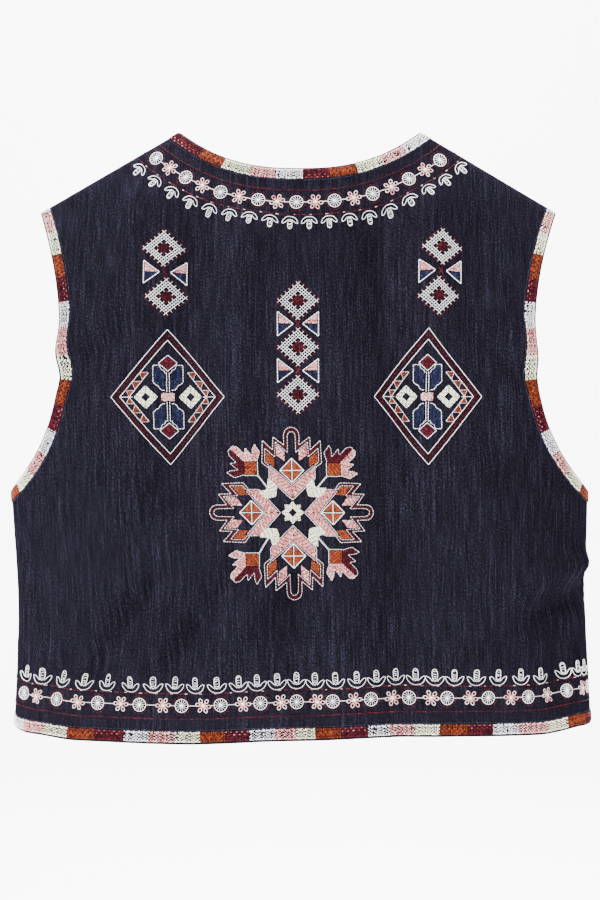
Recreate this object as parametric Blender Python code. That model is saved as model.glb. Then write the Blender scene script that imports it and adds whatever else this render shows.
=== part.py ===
"""Cropped, sleeveless open-front vest, filled out as if worn, edged with a striped galloon tape.

Metres, +Z up. The origin is midway between the two shoulder neck points. The back faces -Y.
Each panel starts as a flat pattern: `girth` runs round the body from the centre line of the back or
of the front to the side seam, and `rise` runs up the cloth. `on_form` bends the pattern round the
body. The tape sewn along each edge lies on the panel's own points, moved out.
"""

import math
from dataclasses import dataclass

import bmesh
import bpy
import numpy as np
from mathutils import Vector
from mathutils.geometry import delaunay_2d_cdt

# Driving sizes
HALF_WIDTH = 0.2315       # centre to side seam, seen from behind, at the underarm
WAIST_DRAW_IN = 0.0045    # the side seams lean in by this much half way down
WAIST_HEIGHT = -0.378
WAIST_REACH = 0.075
BACK_DEPTH = 0.085        # side seam plane to the shoulder blades
FRONT_DEPTH = 0.094       # side seam plane to the chest
SECTION_POWER = 2.4       # roundness of the body section, where 2 is an ellipse
BLADE_HEIGHT = -0.163     # above this the back leans forward to the shoulder seam
CHEST_HEIGHT = -0.192     # above this the front leans back to the shoulder seam
LEAN_START = 1.6          # how softly the lean begins at the blades, where 2 is a circle's start
LEAN_END = 1.2            # how round the cloth turns at the shoulder seam, where 1 is a plain fold
SIDE_SEAM_FORWARD = 0.024 # the side seams lie this far in front of the shoulder seams
SWAY = 0.0021             # the armholes hang this far to the left and the hem this far to the right
SWAY_PERIOD = 0.600

NECK_HALF_WIDTH = 0.0960  # centre to the shoulder neck point
BACK_NECK_DROP = 0.0320
BACK_NECK_POWER = 2.5
SHOULDER_TIP = 0.2045     # centre to the end of the shoulder seam
SHOULDER_SLOPE = math.tan(math.radians(30.4))
UNDERARM_HEIGHT = -0.285
ARMHOLE_WAIST_HEIGHT = -0.155
BACK_ARMHOLE_WAIST = 0.1855
FRONT_ARMHOLE_WAIST = 0.1765
ARMHOLE_TOP_POWER = 1.8
ARMHOLE_BOTTOM_POWER = 2.9
FRONT_NECK_HEIGHT = -0.166
FRONT_NECK_POWER = 1.25
FRONT_EDGE = 0.010        # centre line to each front's edge, so the vest hangs open by 20 mm

HEM_HEIGHT = -0.4760
# share of the half girth of the back, how far the hem lifts there in metres
HEM_LIFT = [
    (-1.00, 0.0050),
    (-0.82, 0.0008),
    (-0.66, -0.0022),
    (-0.35, -0.0033),
    (0.00, 0.0000),
    (0.30, 0.0027),
    (0.70, 0.0018),
    (0.87, 0.0060),
    (1.00, 0.0068),
]

CLOTH = 0.0016            # wall of the outer cloth with its turned edge
SEAM_GAP = 0.0003
TAPE_WIDTH = 0.0082
TAPE_THICKNESS = 0.0009
TAPE_INSET = 0.0012       # dark cloth that shows outside the tape
CELL = 0.0205             # spacing of the points inside a panel where it is flat
CELL_TURN = math.radians(14)  # and a column of points for each turn this large
TAPE_STEP = 0.62          # length of one facet of the tape, in cells
CLEAR_OF_EDGES = 0.60     # width kept free of points beside an edge, in cells

NORMAL_STEP = 0.0004      # distance over which the form's slope is measured
ON_SEAM = 0.000001        # a pattern point this near a seam lies on it
MERGE = 0.0001            # points nearer than this, in cells, are one

NAVY = (0.026, 0.024, 0.043, 1.0)
TAPE_CREAM = (0.62, 0.50, 0.44, 1.0)


@dataclass
class Fold:
    """A soft ridge, or a trough where height is negative, between two points of the flat pattern."""

    start: tuple
    end: tuple
    reach: float
    height: float


BACK_FOLDS = [
    Fold(start=(-0.164, -0.427), end=(-0.068, -0.379), reach=0.018, height=0.0036),
    Fold(start=(-0.052, -0.431), end=(0.000, -0.387), reach=0.020, height=-0.0030),
    Fold(start=(-0.040, -0.095), end=(-0.080, -0.175), reach=0.018, height=0.0025),
    Fold(start=(-0.186, -0.191), end=(-0.136, -0.167), reach=0.014, height=-0.0025),
    Fold(start=(0.136, -0.250), end=(0.144, -0.419), reach=0.026, height=0.0030),
    Fold(start=(0.052, -0.260), end=(0.048, -0.427), reach=0.022, height=-0.0025),
    Fold(start=(0.235, -0.379), end=(0.184, -0.435), reach=0.016, height=-0.0030),
    Fold(start=(0.176, -0.147), end=(0.160, -0.267), reach=0.022, height=0.0020),
]
FRONT_FOLDS = [
    Fold(start=(-0.165, -0.260), end=(-0.150, -0.425), reach=0.026, height=0.0032),
    Fold(start=(-0.085, -0.300), end=(-0.090, -0.440), reach=0.022, height=-0.0026),
    Fold(start=(-0.120, -0.090), end=(-0.105, -0.190), reach=0.020, height=0.0022),
    Fold(start=(0.150, -0.270), end=(0.160, -0.430), reach=0.024, height=0.0030),
    Fold(start=(0.085, -0.330), end=(0.070, -0.445), reach=0.022, height=-0.0028),
    Fold(start=(0.125, -0.100), end=(0.110, -0.200), reach=0.018, height=0.0020),
]


def crest_height(x):
    """Height of the shoulder line, carried on in a smooth arch over the neck."""
    x = abs(x)
    if x > NECK_HALF_WIDTH:
        return -(x - NECK_HALF_WIDTH) * SHOULDER_SLOPE
    return NECK_HALF_WIDTH * SHOULDER_SLOPE / 2 * (1 - (x / NECK_HALF_WIDTH) ** 2)


def lengths_along(first, second):
    """Length from the start of a curve to each of its points."""
    return np.concatenate([[0.0], np.cumsum(np.hypot(np.diff(first), np.diff(second)))])


class Side:
    """The back or the front of the body form that the cloth hangs on."""

    def __init__(self, facing, depth, level, folds):
        self.facing = facing          # -1 for the back, +1 for the front
        self.depth = depth
        self.level = level            # height of the blades or of the chest
        self.folds = folds
        angle = np.linspace(0.0, math.pi / 2, 600)

        # the body section, from the centre line round to the side seam
        self.across = np.sin(angle) ** (2 / SECTION_POWER)
        self.out = np.cos(angle) ** (2 / SECTION_POWER)
        self.girth = lengths_along(HALF_WIDTH * self.across, depth * self.out)
        self.half_girth = float(self.girth[-1])
        heading = np.arctan2(-depth * np.gradient(self.out), HALF_WIDTH * np.gradient(self.across))
        self.column = self.girth / CELL + heading / CELL_TURN

        # the lean up to the shoulder seam, measured at the middle of the shoulder
        self.lift = np.sin(angle)
        self.lean = (1 - self.lift ** LEAN_START) ** (1 / LEAN_END)
        height = crest_height((NECK_HALF_WIDTH + SHOULDER_TIP) / 2) - level
        self.climb = lengths_along(height * self.lift, (depth + facing * SIDE_SEAM_FORWARD) * self.lean)

    def girth_at(self, x, z):
        """Girth of the point of the section that lies x from the centre line."""
        share = abs(x) / half_width(z)
        return math.copysign(float(np.interp(share, self.across, self.girth)), x)

    def rise_at(self, x, z):
        """Height in the flat pattern of the point of the form at x and z."""
        if z <= self.level:
            return z
        share = (z - self.level) / (crest_height(x) - self.level)
        return self.level + float(np.interp(share, self.lift, self.climb))

    @property
    def shoulder_rise(self):
        return self.level + float(self.climb[-1])

    def to_even(self, point):
        """Flat pattern point in the evenly turning spacing that the panels' points are laid out in."""
        girth, rise = point
        return math.copysign(float(np.interp(abs(girth), self.girth, self.column)), girth), rise / CELL

    def from_even(self, point):
        column, row = point
        return math.copysign(float(np.interp(abs(column), self.column, self.girth)), column), row * CELL


def half_width(z):
    lean = 1 - math.exp(-(((z - WAIST_HEIGHT) / WAIST_REACH) ** 2))
    return HALF_WIDTH - WAIST_DRAW_IN * (1 - lean)


def smooth(share):
    share = min(max(share, 0.0), 1.0)
    return share * share * (3 - 2 * share)


def seam_plane(z):
    """Y of the side seams low down, and of the shoulder seams, at 0, from the shoulder tip up."""
    tip_height = crest_height(SHOULDER_TIP)
    return SIDE_SEAM_FORWARD * smooth((z - tip_height) / (UNDERARM_HEIGHT - tip_height))


def fold_height(folds, girth, rise):
    total = 0.0
    here = Vector((girth, rise))
    for fold in folds:
        start = Vector(fold.start)
        along = Vector(fold.end) - start
        share = min(max((here - start).dot(along) / along.length_squared, 0.0), 1.0)
        distance = (here - start - share * along).length
        total += fold.height * math.exp(-((distance / fold.reach) ** 2))
    return total


def on_form(side, girth, rise):
    """The point of the form where a point of the flat pattern lies.

    Past a seam the section carries on round the body, so that normals at a seam are exact.
    """
    distance = abs(girth)
    past_side_seam = distance > side.half_girth
    if past_side_seam:
        distance = 2 * side.half_girth - distance
    across = float(np.interp(distance, side.girth, side.across))
    out = float(np.interp(distance, side.girth, side.out))
    if past_side_seam:
        out = -out
    if rise <= side.level:
        z = rise
        lean = 1.0
        x = across * half_width(z)
    else:
        x = across * HALF_WIDTH
        climb = rise - side.level
        past_shoulder_seam = climb > side.climb[-1]
        if past_shoulder_seam:
            climb = 2 * side.climb[-1] - climb
        z = side.level + (crest_height(x) - side.level) * float(np.interp(climb, side.climb, side.lift))
        lean = float(np.interp(climb, side.climb, side.lean))
        if past_shoulder_seam:
            lean = -lean
    seam_y = seam_plane(z)
    depth = side.depth + side.facing * (SIDE_SEAM_FORWARD - seam_y) + fold_height(side.folds, girth, rise)
    y = seam_y + side.facing * (SEAM_GAP / 2 + depth * out * lean)
    sway = SWAY * math.sin(2 * math.pi * z / SWAY_PERIOD)
    return Vector((math.copysign(x, girth) + sway, y, z))


def outward(side, girth, rise):
    """Unit normal of the form, away from the body. At a seam it lies in the seam's plane."""
    round_body = on_form(side, girth + NORMAL_STEP, rise) - on_form(side, girth - NORMAL_STEP, rise)
    up_cloth = on_form(side, girth, rise + NORMAL_STEP) - on_form(side, girth, rise - NORMAL_STEP)
    normal = round_body.cross(up_cloth).normalized()
    if side.facing > 0:
        normal = -normal
    on_side_seam = abs(abs(girth) - side.half_girth) < ON_SEAM
    on_shoulder_seam = abs(rise - side.shoulder_rise) < ON_SEAM
    if on_side_seam or on_shoulder_seam:
        normal.y = 0.0
        normal.normalize()
    return normal


BACK = Side(facing=-1, depth=BACK_DEPTH, level=BLADE_HEIGHT, folds=BACK_FOLDS)
FRONT = Side(facing=1, depth=FRONT_DEPTH, level=CHEST_HEIGHT, folds=FRONT_FOLDS)


# Edges of the cut pieces, in the flat pattern

def evenly(start, end, step):
    count = max(1, round(abs(end - start) / step))
    return [start + (end - start) * index / count for index in range(count + 1)]


def spaced(side, points, step):
    """The same line, with its points a number of cells apart along its length."""
    columns, rows = zip(*[side.to_even(point) for point in points])
    length = lengths_along(columns, rows)
    places = evenly(0.0, float(length[-1]), step)
    line = zip(np.interp(places, length, columns).tolist(), np.interp(places, length, rows).tolist())
    return [side.from_even(point) for point in line]


def hem_rise(side, girth):
    """Height of the hem. The fronts carry on from the back's two ends and run level from there."""
    share = girth / side.half_girth
    if side.facing > 0:
        share = math.copysign(1.0, girth)
    for (low, low_lift), (high, high_lift) in zip(HEM_LIFT, HEM_LIFT[1:]):
        if share <= high or high == HEM_LIFT[-1][0]:
            return HEM_HEIGHT + low_lift + (high_lift - low_lift) * smooth((share - low) / (high - low))


def hem_line(side, start, end, lift=0.0):
    ends = [side.to_even((girth, 0.0))[0] for girth in (start, end)]
    girths = [side.from_even((column, 0.0))[0] for column in evenly(*ends, TAPE_STEP)]
    return [(girth, hem_rise(side, girth) + lift) for girth in girths]


def armhole_line(side, hand):
    """From the underarm up to the shoulder tip. hand is -1 for the left of the body and +1 for the right."""
    waist = BACK_ARMHOLE_WAIST if side.facing < 0 else FRONT_ARMHOLE_WAIST
    tip_height = crest_height(SHOULDER_TIP)
    underarm_half_width = half_width(UNDERARM_HEIGHT)
    line = []
    for share in np.linspace(1.0, 0.0, 80):
        z = ARMHOLE_WAIST_HEIGHT + (UNDERARM_HEIGHT - ARMHOLE_WAIST_HEIGHT) * share
        x = waist + (underarm_half_width - waist) * share ** ARMHOLE_BOTTOM_POWER
        line.append((hand * side.girth_at(x, z), side.rise_at(x, z)))
    for share in np.linspace(0.0, 1.0, 80)[1:]:
        z = ARMHOLE_WAIST_HEIGHT + (tip_height - ARMHOLE_WAIST_HEIGHT) * share
        x = waist + (SHOULDER_TIP - waist) * share ** ARMHOLE_TOP_POWER
        line.append((hand * side.girth_at(x, z), side.rise_at(x, z)))
    line = spaced(side, line, TAPE_STEP)
    line[0] = (hand * side.half_girth, UNDERARM_HEIGHT)
    line[-1] = (line[-1][0], side.shoulder_rise)
    return line


def back_neck_line():
    """From the right shoulder neck point down round the neck to the left one."""
    line = []
    for angle in np.linspace(0.0, math.pi, 160):
        x = NECK_HALF_WIDTH * math.cos(angle)
        z = -BACK_NECK_DROP * (1 - (abs(x) / NECK_HALF_WIDTH) ** BACK_NECK_POWER)
        line.append((BACK.girth_at(x, z), BACK.rise_at(x, z)))
    line = spaced(BACK, line, TAPE_STEP)
    line[0] = (line[0][0], BACK.shoulder_rise)
    line[-1] = (line[-1][0], BACK.shoulder_rise)
    return line


def front_edge_line(hand):
    """From the hem up the front edge and round the neck to the shoulder neck point."""
    edge_girth = hand * FRONT.girth_at(FRONT_EDGE, FRONT_NECK_HEIGHT)
    line = [(edge_girth, hem_rise(FRONT, edge_girth))]
    for angle in np.linspace(0.0, math.pi / 2, 120):
        share = math.sin(angle)
        x = FRONT_EDGE + (NECK_HALF_WIDTH - FRONT_EDGE) * share
        z = FRONT_NECK_HEIGHT * (1 - share ** FRONT_NECK_POWER)
        line.append((hand * FRONT.girth_at(x, z), FRONT.rise_at(x, z)))
    line = spaced(FRONT, line, TAPE_STEP)
    line[-1] = (line[-1][0], FRONT.shoulder_rise)
    return line


def shoulder_line(side, hand):
    """Between, and without, the shoulder tip and the neck point."""
    tip = side.girth_at(SHOULDER_TIP, crest_height(SHOULDER_TIP))
    neck = side.girth_at(NECK_HALF_WIDTH, 0.0)
    return spaced(side, [(hand * tip, side.shoulder_rise), (hand * neck, side.shoulder_rise)], 1.0)[1:-1]


def side_line(side, hand):
    """Between, and without, the hem and the underarm."""
    girth = hand * side.half_girth
    return spaced(side, [(girth, hem_rise(side, girth)), (girth, UNDERARM_HEIGHT)], 1.0)[1:-1]


def inset(line, distance, inward_sign, ends):
    """The line moved to one side in the flat pattern. Each end is held on its seam or edge."""
    moved = []
    for index, (girth, rise) in enumerate(line):
        before = Vector(line[max(index - 1, 0)])
        after = Vector(line[min(index + 1, len(line) - 1)])
        along = (after - before).normalized()
        moved.append((girth - inward_sign * along.y * distance, rise + inward_sign * along.x * distance))
    for index, held in zip((0, -1), ends):
        girth, rise = moved[index]
        moved[index] = (held.get("girth", girth), held.get("rise", rise))
    return moved


def tape_pair(line, inward_sign, ends):
    """The two edges of a tape that follows a line of the panel's edge."""
    return [inset(line, distance, inward_sign, ends) for distance in (TAPE_INSET, TAPE_INSET + TAPE_WIDTH)]


def hem_tape(side, start, end):
    return [hem_line(side, start, end, lift) for lift in (TAPE_INSET, TAPE_INSET + TAPE_WIDTH)]


def armhole_tape(side, hand, line):
    return tape_pair(line, hand, ({"girth": hand * side.half_girth}, {"rise": side.shoulder_rise}))


# Solids

def inside(point, outline):
    """Whether a point lies within a closed outline."""
    within = False
    x, y = point
    for (x1, y1), (x2, y2) in zip(outline, outline[1:] + outline[:1]):
        if (y1 > y) != (y2 > y) and x < x1 + (y - y1) * (x2 - x1) / (y2 - y1):
            within = not within
    return within


def lattice(outline, lines):
    """Points in rows inside the outline, a cell apart and clear of the lines."""
    taken = []
    for line in lines:
        for start, end in zip(line, line[1:]):
            taken += [start, tuple((np.array(start) + np.array(end)) / 2), end]
    taken = np.array(taken)
    low_column, low_row = np.min(outline, axis=0)
    high_column, high_row = np.max(outline, axis=0)
    row_height = math.sqrt(3) / 2
    points = []
    for row_number in range(int((high_row - low_row) / row_height) + 2):
        row = low_row + row_number * row_height
        for column_number in range(int(high_column - low_column) + 2):
            column = low_column + column_number + 0.5 * (row_number % 2)
            clear = np.hypot(taken[:, 0] - column, taken[:, 1] - row).min() > CLEAR_OF_EDGES
            if clear and inside((column, row), outline):
                points.append((column, row))
    return points


def triangulated(outline, tape_lines):
    """A flat piece as triangles, with its outline and tape lines as edges."""
    points = list(outline)
    edges = [(index, (index + 1) % len(outline)) for index in range(len(outline))]
    for line in tape_lines:
        first = len(points)
        points += line
        edges += [(first + index, first + index + 1) for index in range(len(line) - 1)]
    points += lattice(outline, [outline + outline[:1]] + tape_lines)
    points = [Vector(point) for point in points]
    corners, _, triangles, _, _, _ = delaunay_2d_cdt(points, edges, [list(range(len(outline)))], 1, MERGE)
    return corners, triangles


def fabric(name, colour, roughness):
    material = bpy.data.materials.new(name)
    material.use_nodes = True
    shader = material.node_tree.nodes["Principled BSDF"]
    shader.inputs["Base Color"].default_value = colour
    shader.inputs["Roughness"].default_value = roughness
    shader.inputs["Metallic"].default_value = 0.0
    return material


def cloth_solid(name, side, corners, triangles, low, high, material):
    """A closed wall over the triangles, between two heights above the form."""
    solid = bmesh.new()
    edges = set()
    outer = {}
    inner = {}
    for triangle in triangles:
        for index in triangle:
            if index not in outer:
                place = side.from_even(corners[index])
                point = on_form(side, *place)
                normal = outward(side, *place)
                outer[index] = solid.verts.new(point + normal * high)
                inner[index] = solid.verts.new(point + normal * low)
        first, second, third = (corners[index] for index in triangle)
        turn = list(triangle)
        turns_left = (second - first).cross(third - first) > 0
        if turns_left == (side.facing > 0):
            turn.reverse()
        solid.faces.new([outer[index] for index in turn])
        solid.faces.new([inner[index] for index in reversed(turn)])
        edges.update(zip(turn, turn[1:] + turn[:1]))
    for start, end in sorted(edges):
        if (end, start) not in edges:
            solid.faces.new([outer[end], outer[start], inner[start], inner[end]])
    mesh = bpy.data.meshes.new(name)
    solid.normal_update()
    solid.to_mesh(mesh)
    solid.free()
    mesh.shade_smooth()
    mesh.set_sharp_from_angle(angle=math.radians(50))
    mesh.materials.append(material)
    piece = bpy.data.objects.new(name, mesh)
    bpy.context.scene.collection.objects.link(piece)
    piece.parent = VEST


def panel_with_tapes(name, side, outline, tapes):
    """A panel, and tapes that lie on the panel's own triangles, moved out."""
    outline = [side.to_even(point) for point in outline]
    tape_lines = {}
    for tape, pair in tapes.items():
        tape_lines[tape] = [[side.to_even(point) for point in line] for line in pair]
    corners, triangles = triangulated(outline, [line for pair in tape_lines.values() for line in pair])
    cloth_solid(name, side, corners, triangles, -CLOTH, 0.0, NAVY_CLOTH)
    for tape, (outer_line, inner_line) in tape_lines.items():
        band = outer_line + list(reversed(inner_line))
        under = []
        for triangle in triangles:
            middle = sum((corners[index] for index in triangle), Vector((0.0, 0.0))) / 3
            if inside(middle, band):
                under.append(triangle)
        cloth_solid(tape, side, corners, under, SEAM_GAP, SEAM_GAP + TAPE_THICKNESS, STRIPED_TAPE)


def make_back():
    right_armhole = armhole_line(BACK, 1)
    left_armhole = armhole_line(BACK, -1)
    neck = back_neck_line()
    half = BACK.half_girth
    outline = hem_line(BACK, -half, half) + side_line(BACK, 1) + right_armhole + shoulder_line(BACK, 1) + neck
    outline += list(reversed(side_line(BACK, -1) + left_armhole + shoulder_line(BACK, -1)))
    on_shoulder = {"rise": BACK.shoulder_rise}
    tapes = {
        "back_hem_tape": hem_tape(BACK, -half, half),
        "back_neck_tape": tape_pair(neck, 1, (on_shoulder, on_shoulder)),
        "back_right_armhole_tape": armhole_tape(BACK, 1, right_armhole),
        "back_left_armhole_tape": armhole_tape(BACK, -1, left_armhole),
    }
    panel_with_tapes("back_panel", BACK, outline, tapes)


def make_front(word, hand):
    armhole = armhole_line(FRONT, hand)
    edge = front_edge_line(hand)
    side_girth = hand * FRONT.half_girth
    outline = hem_line(FRONT, edge[0][0], side_girth) + side_line(FRONT, hand) + armhole
    outline += shoulder_line(FRONT, hand) + list(reversed(edge))[:-1]
    above_hem_tape = edge[0][1] + TAPE_INSET + TAPE_WIDTH + SEAM_GAP
    edge_above_hem = [(edge[0][0], above_hem_tape)]
    edge_above_hem += [point for point in edge if point[1] > above_hem_tape + TAPE_WIDTH]
    ends = ({"rise": above_hem_tape}, {"rise": FRONT.shoulder_rise})
    tapes = {
        f"front_{word}_hem_tape": hem_tape(FRONT, edge[0][0] + hand * TAPE_INSET, side_girth),
        f"front_{word}_edge_tape": tape_pair(edge_above_hem, -hand, ends),
        f"front_{word}_armhole_tape": armhole_tape(FRONT, hand, armhole),
    }
    panel_with_tapes(f"front_{word}_panel", FRONT, outline, tapes)


for left_over in list(bpy.data.objects):
    bpy.data.objects.remove(left_over)

VEST = bpy.data.objects.new("vest", None)
bpy.context.scene.collection.objects.link(VEST)
NAVY_CLOTH = fabric("navy slub cloth", NAVY, roughness=0.85)
STRIPED_TAPE = fabric("striped galloon tape", TAPE_CREAM, roughness=0.7)

make_back()
make_front("left", -1)
make_front("right", 1)
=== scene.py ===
"""Looks of the embroidered folk vest: the cloth, the satin-stitched edging and the hand embroidery.

Sizes are in millimetres until a point is placed. A place on the cloth is a girth, measured round the
body from the centre line of the back or of the fronts, and a rise, measured up the cloth. The height
of a thread is measured off the cloth.
"""

import math
import random
from dataclasses import dataclass

import bpy
import numpy as np
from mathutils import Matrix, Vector
from mathutils.geometry import delaunay_2d_cdt


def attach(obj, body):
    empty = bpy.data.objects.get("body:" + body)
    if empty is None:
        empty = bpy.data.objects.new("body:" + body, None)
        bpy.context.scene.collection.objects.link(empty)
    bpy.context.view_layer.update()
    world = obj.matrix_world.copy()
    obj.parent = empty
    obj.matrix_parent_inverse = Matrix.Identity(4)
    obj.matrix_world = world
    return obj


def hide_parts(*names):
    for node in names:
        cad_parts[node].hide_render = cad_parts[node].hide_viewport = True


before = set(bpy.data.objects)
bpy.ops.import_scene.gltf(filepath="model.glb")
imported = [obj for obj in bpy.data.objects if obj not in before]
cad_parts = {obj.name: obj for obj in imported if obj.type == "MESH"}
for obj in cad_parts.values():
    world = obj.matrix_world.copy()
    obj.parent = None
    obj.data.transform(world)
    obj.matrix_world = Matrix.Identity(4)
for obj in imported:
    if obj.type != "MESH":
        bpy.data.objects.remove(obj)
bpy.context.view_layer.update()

MM = 0.001
CHANCE = random.Random(11)

# Body form, with the sizes of the solids
HALF_WIDTH = 231.5
WAIST_DRAW_IN = 4.5
WAIST_HEIGHT = -378.0
WAIST_REACH = 75.0
BACK_DEPTH = 85.0
FRONT_DEPTH = 94.0
SECTION_POWER = 2.4
BLADE_HEIGHT = -163.0
CHEST_HEIGHT = -192.0
LEAN_START = 1.6
LEAN_END = 1.2
SIDE_SEAM_FORWARD = 24.0
SWAY = 2.1
SWAY_PERIOD = 600.0
SEAM_GAP = 0.3
CLOTH = 1.6

# Cut of the pieces
NECK_HALF_WIDTH = 96.0
BACK_NECK_DROP = 32.0
BACK_NECK_POWER = 2.5
SHOULDER_TIP = 204.5
SHOULDER_SLOPE = math.tan(math.radians(30.4))
UNDERARM_HEIGHT = -285.0
ARMHOLE_WAIST_HEIGHT = -155.0
BACK_ARMHOLE_WAIST = 185.5
FRONT_ARMHOLE_WAIST = 176.5
ARMHOLE_TOP_POWER = 1.8
ARMHOLE_BOTTOM_POWER = 2.9
FRONT_NECK_HEIGHT = -166.0
FRONT_NECK_POWER = 1.25
FRONT_EDGE = 10.0
HEM_HEIGHT = -476.0
# share of the half girth of the back, how far the hem lifts there
HEM_LIFT = [
    (-1.00, 5.0),
    (-0.82, 0.8),
    (-0.66, -2.2),
    (-0.35, -3.3),
    (0.00, 0.0),
    (0.30, 2.7),
    (0.70, 1.8),
    (0.87, 6.0),
    (1.00, 6.8),
]
OUTLINE_STEP = 3.0
CELL = 4.6                # spacing of the points of a panel
CLEAR_OF_EDGES = 0.55     # width kept free of points beside the outline, in cells
RIM_BULGE = 0.45          # how far the rounded rim of the cloth stands out from its outline
SEAM_DITCH = 0.6          # depth of the valley that a sewn seam presses into the cloth
SEAM_DITCH_REACH = 1.8
SEAM_SLACK = 14.0         # creases die away within this distance of a seam
SEAM_MARGIN = 0.3         # the shoulder seam swallows threads nearer to it than this

# The edging and the embroidered bands, measured in from the cloth's edge
TAPE_START = 1.45
TAPE_END = 9.2
TAPE_MIDDLE = (TAPE_START + TAPE_END) / 2
EDGING_PITCH = 1.16
# where the stitches of the edging meet, in shares of its width, in turn along it
EDGING_JOINS = ((0.22, 0.50, 0.76), (0.36, 0.66), (0.18, 0.44, 0.70), (0.30, 0.58, 0.84))
LIGHT_HOLE = 0.62         # bare cloth beside each meeting place of the light threads
DARK_HOLE = 0.34
TOPSTITCH = 10.3
TOPSTITCH_PITCH = 3.4
HIGHLIGHT_FLECK_PITCH = 2.1         # from one painted highlight fleck over the wine and rust blocks to the next
LINE_STITCH = 4.1         # from one stitch of a band's two lines to the next
BAND_REACH = 54.0
WHEEL_PITCH = 31.0
WHEEL_RADIUS = 5.1
WHEEL_SPOKES = 13
FLOWER_RADIUS = 4.3
MOTIF_ROOM = 10.5         # the least distance between the middles of two wheels, flowers or tulips

# Where each hem wheel sits round the back, spaced by eye as the maker did
HEM_WHEELS = [-239, -201, -162, -128, -94, -62, -31, -4, 25, 55, 84, 113, 146, 180, 222, 250]
FLOWER_SHIFT = 2.0        # a flower sits this far past the middle between its wheels
HEM_TULIPS = [
    -239, -216, -200, -175, -156, -135, -117, -100, -82, -64, -47, -33, -18, -4, 11, 28, 45, 60, 75, 90, 104,
    119, 136, 154, 174, 196, 222, 233, 244]
# Where each block of colour starts, round the back from its left side, the first in white
HEM_BLOCKS = [
    -255, -232, -209, -187, -163, -140, -120, -99, -79, -60, -41, -21, -4, 11, 30, 51, 68, 87, 107, 129, 150,
    171, 195, 217, 240, 263]
NECK_BLOCK = 21.25
FIRST_NECK_BLOCK = 5.15   # how much longer the first block is, over the shoulder seam
ARMHOLE_BLOCK = 20.4
FRONT_HEM_BLOCK = 20.5
# How long the last block is, where an edge ends at a seam
LAST_ARMHOLE_BLOCK = 3.3
LAST_FRONT_HEM_BLOCK = 8.0
LAST_FRONT_NECK_BLOCK = 14.0
LAST_FRONT_ARMHOLE_BLOCK = 16.0
# The chain of a front edge, measured up from the hem
FIRST_FRONT_WHEEL = 24.0  # no wheel sits lower
FIRST_FRONT_TULIP = 50.0  # wheels and flowers below this have no tulip, to stay clear of the hem's band
LAST_FRONT_WHEEL = 21.0   # from the last wheel to the shoulder seam
TULIP_SHIFT = 7.0         # a tulip sits this far below its wheel or flower


@dataclass
class BandLines:
    """How far the lines of an embroidered band lie from the edge of the cloth."""

    inner: float
    wheels: float
    outer: float
    tulips: float
    tulip_size: tuple


HEM_BAND = BandLines(inner=19.2, wheels=29.6, outer=38.8, tulips=45.6, tulip_size=(1.0, 1.0))
NECK_BAND = BandLines(inner=19.0, wheels=29.2, outer=39.6, tulips=46.4, tulip_size=(0.86, 0.78))


@dataclass
class Crease:
    """A soft ridge, or a trough where its height is negative, along a line of places on the cloth."""

    line: list
    reach: float
    height: float


# the places of each line, how far it reaches to either side, and its height
BACK_CREASES = [
    # long upright folds
    ([(-79, -88), (-82, -150), (-86, -215), (-100, -282)], 18, -10.5),
    ([(-40, -84), (-46, -150), (-52, -222)], 19, 6.8),
    ([(68, -80), (72, -165), (92, -228), (77, -290), (84, -360), (82, -428)], 19, -11.5),
    ([(104, -60), (104, -148)], 17, 6.0),
    ([(140, -268), (148, -330), (142, -412)], 20, 6.8),
    ([(-140, -284), (-152, -366)], 18, 5.4),
    ([(30, -262), (28, -322), (34, -392)], 15, 5.2),
    ([(0, -358), (-4, -400), (-6, -432)], 14, -9.8),
    # slanting folds low on the left
    ([(-205, -430), (-168, -412)], 11, -6.0),
    ([(-162, -424), (-138, -386), (-108, -354)], 12, -9.0),
    ([(-128, -424), (-102, -384), (-66, -348)], 13, 9.8),
    ([(-100, -422), (-80, -394)], 10, -6.0),
    ([(-74, -426), (-48, -388), (-26, -354)], 15, 9.0),
    # pull lines from the armholes
    ([(-196, -180), (-150, -146)], 11, 6.9),
    ([(-182, -196), (-134, -164)], 11, -6.9),
    ([(190, -180), (156, -146)], 11, 4.5),
    ([(178, -196), (150, -168)], 10, -4.2),
    ([(142, -78), (168, -140)], 12, -4.5),
    ([(-166, -58), (-150, -100)], 12, -3.9),
    ([(-126, -52), (-140, -104), (-136, -160)], 14, 5.1),
    # the right side low down
    ([(182, -358), (210, -346), (240, -342)], 11, 6.9),
    ([(186, -384), (214, -370), (256, -362)], 12, -7.5),
    ([(176, -300), (182, -404)], 13, 4.8),
    ([(212, -396), (206, -440)], 11, -5.4),
    # short creases over the side seams and the hem
    ([(-230, -330), (-206, -404)], 12, -4.5),
    ([(-248, -404), (-242, -462)], 6, 1.6),
    ([(-234, -408), (-230, -460)], 6, -1.6),
    ([(-220, -414), (-216, -458)], 6, 1.4),
    ([(100, -430), (104, -470)], 12, 2.0),
    ([(70, -434), (74, -470)], 11, -1.6),
    ([(-12, -440), (-8, -472)], 12, 1.6),
]
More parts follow.
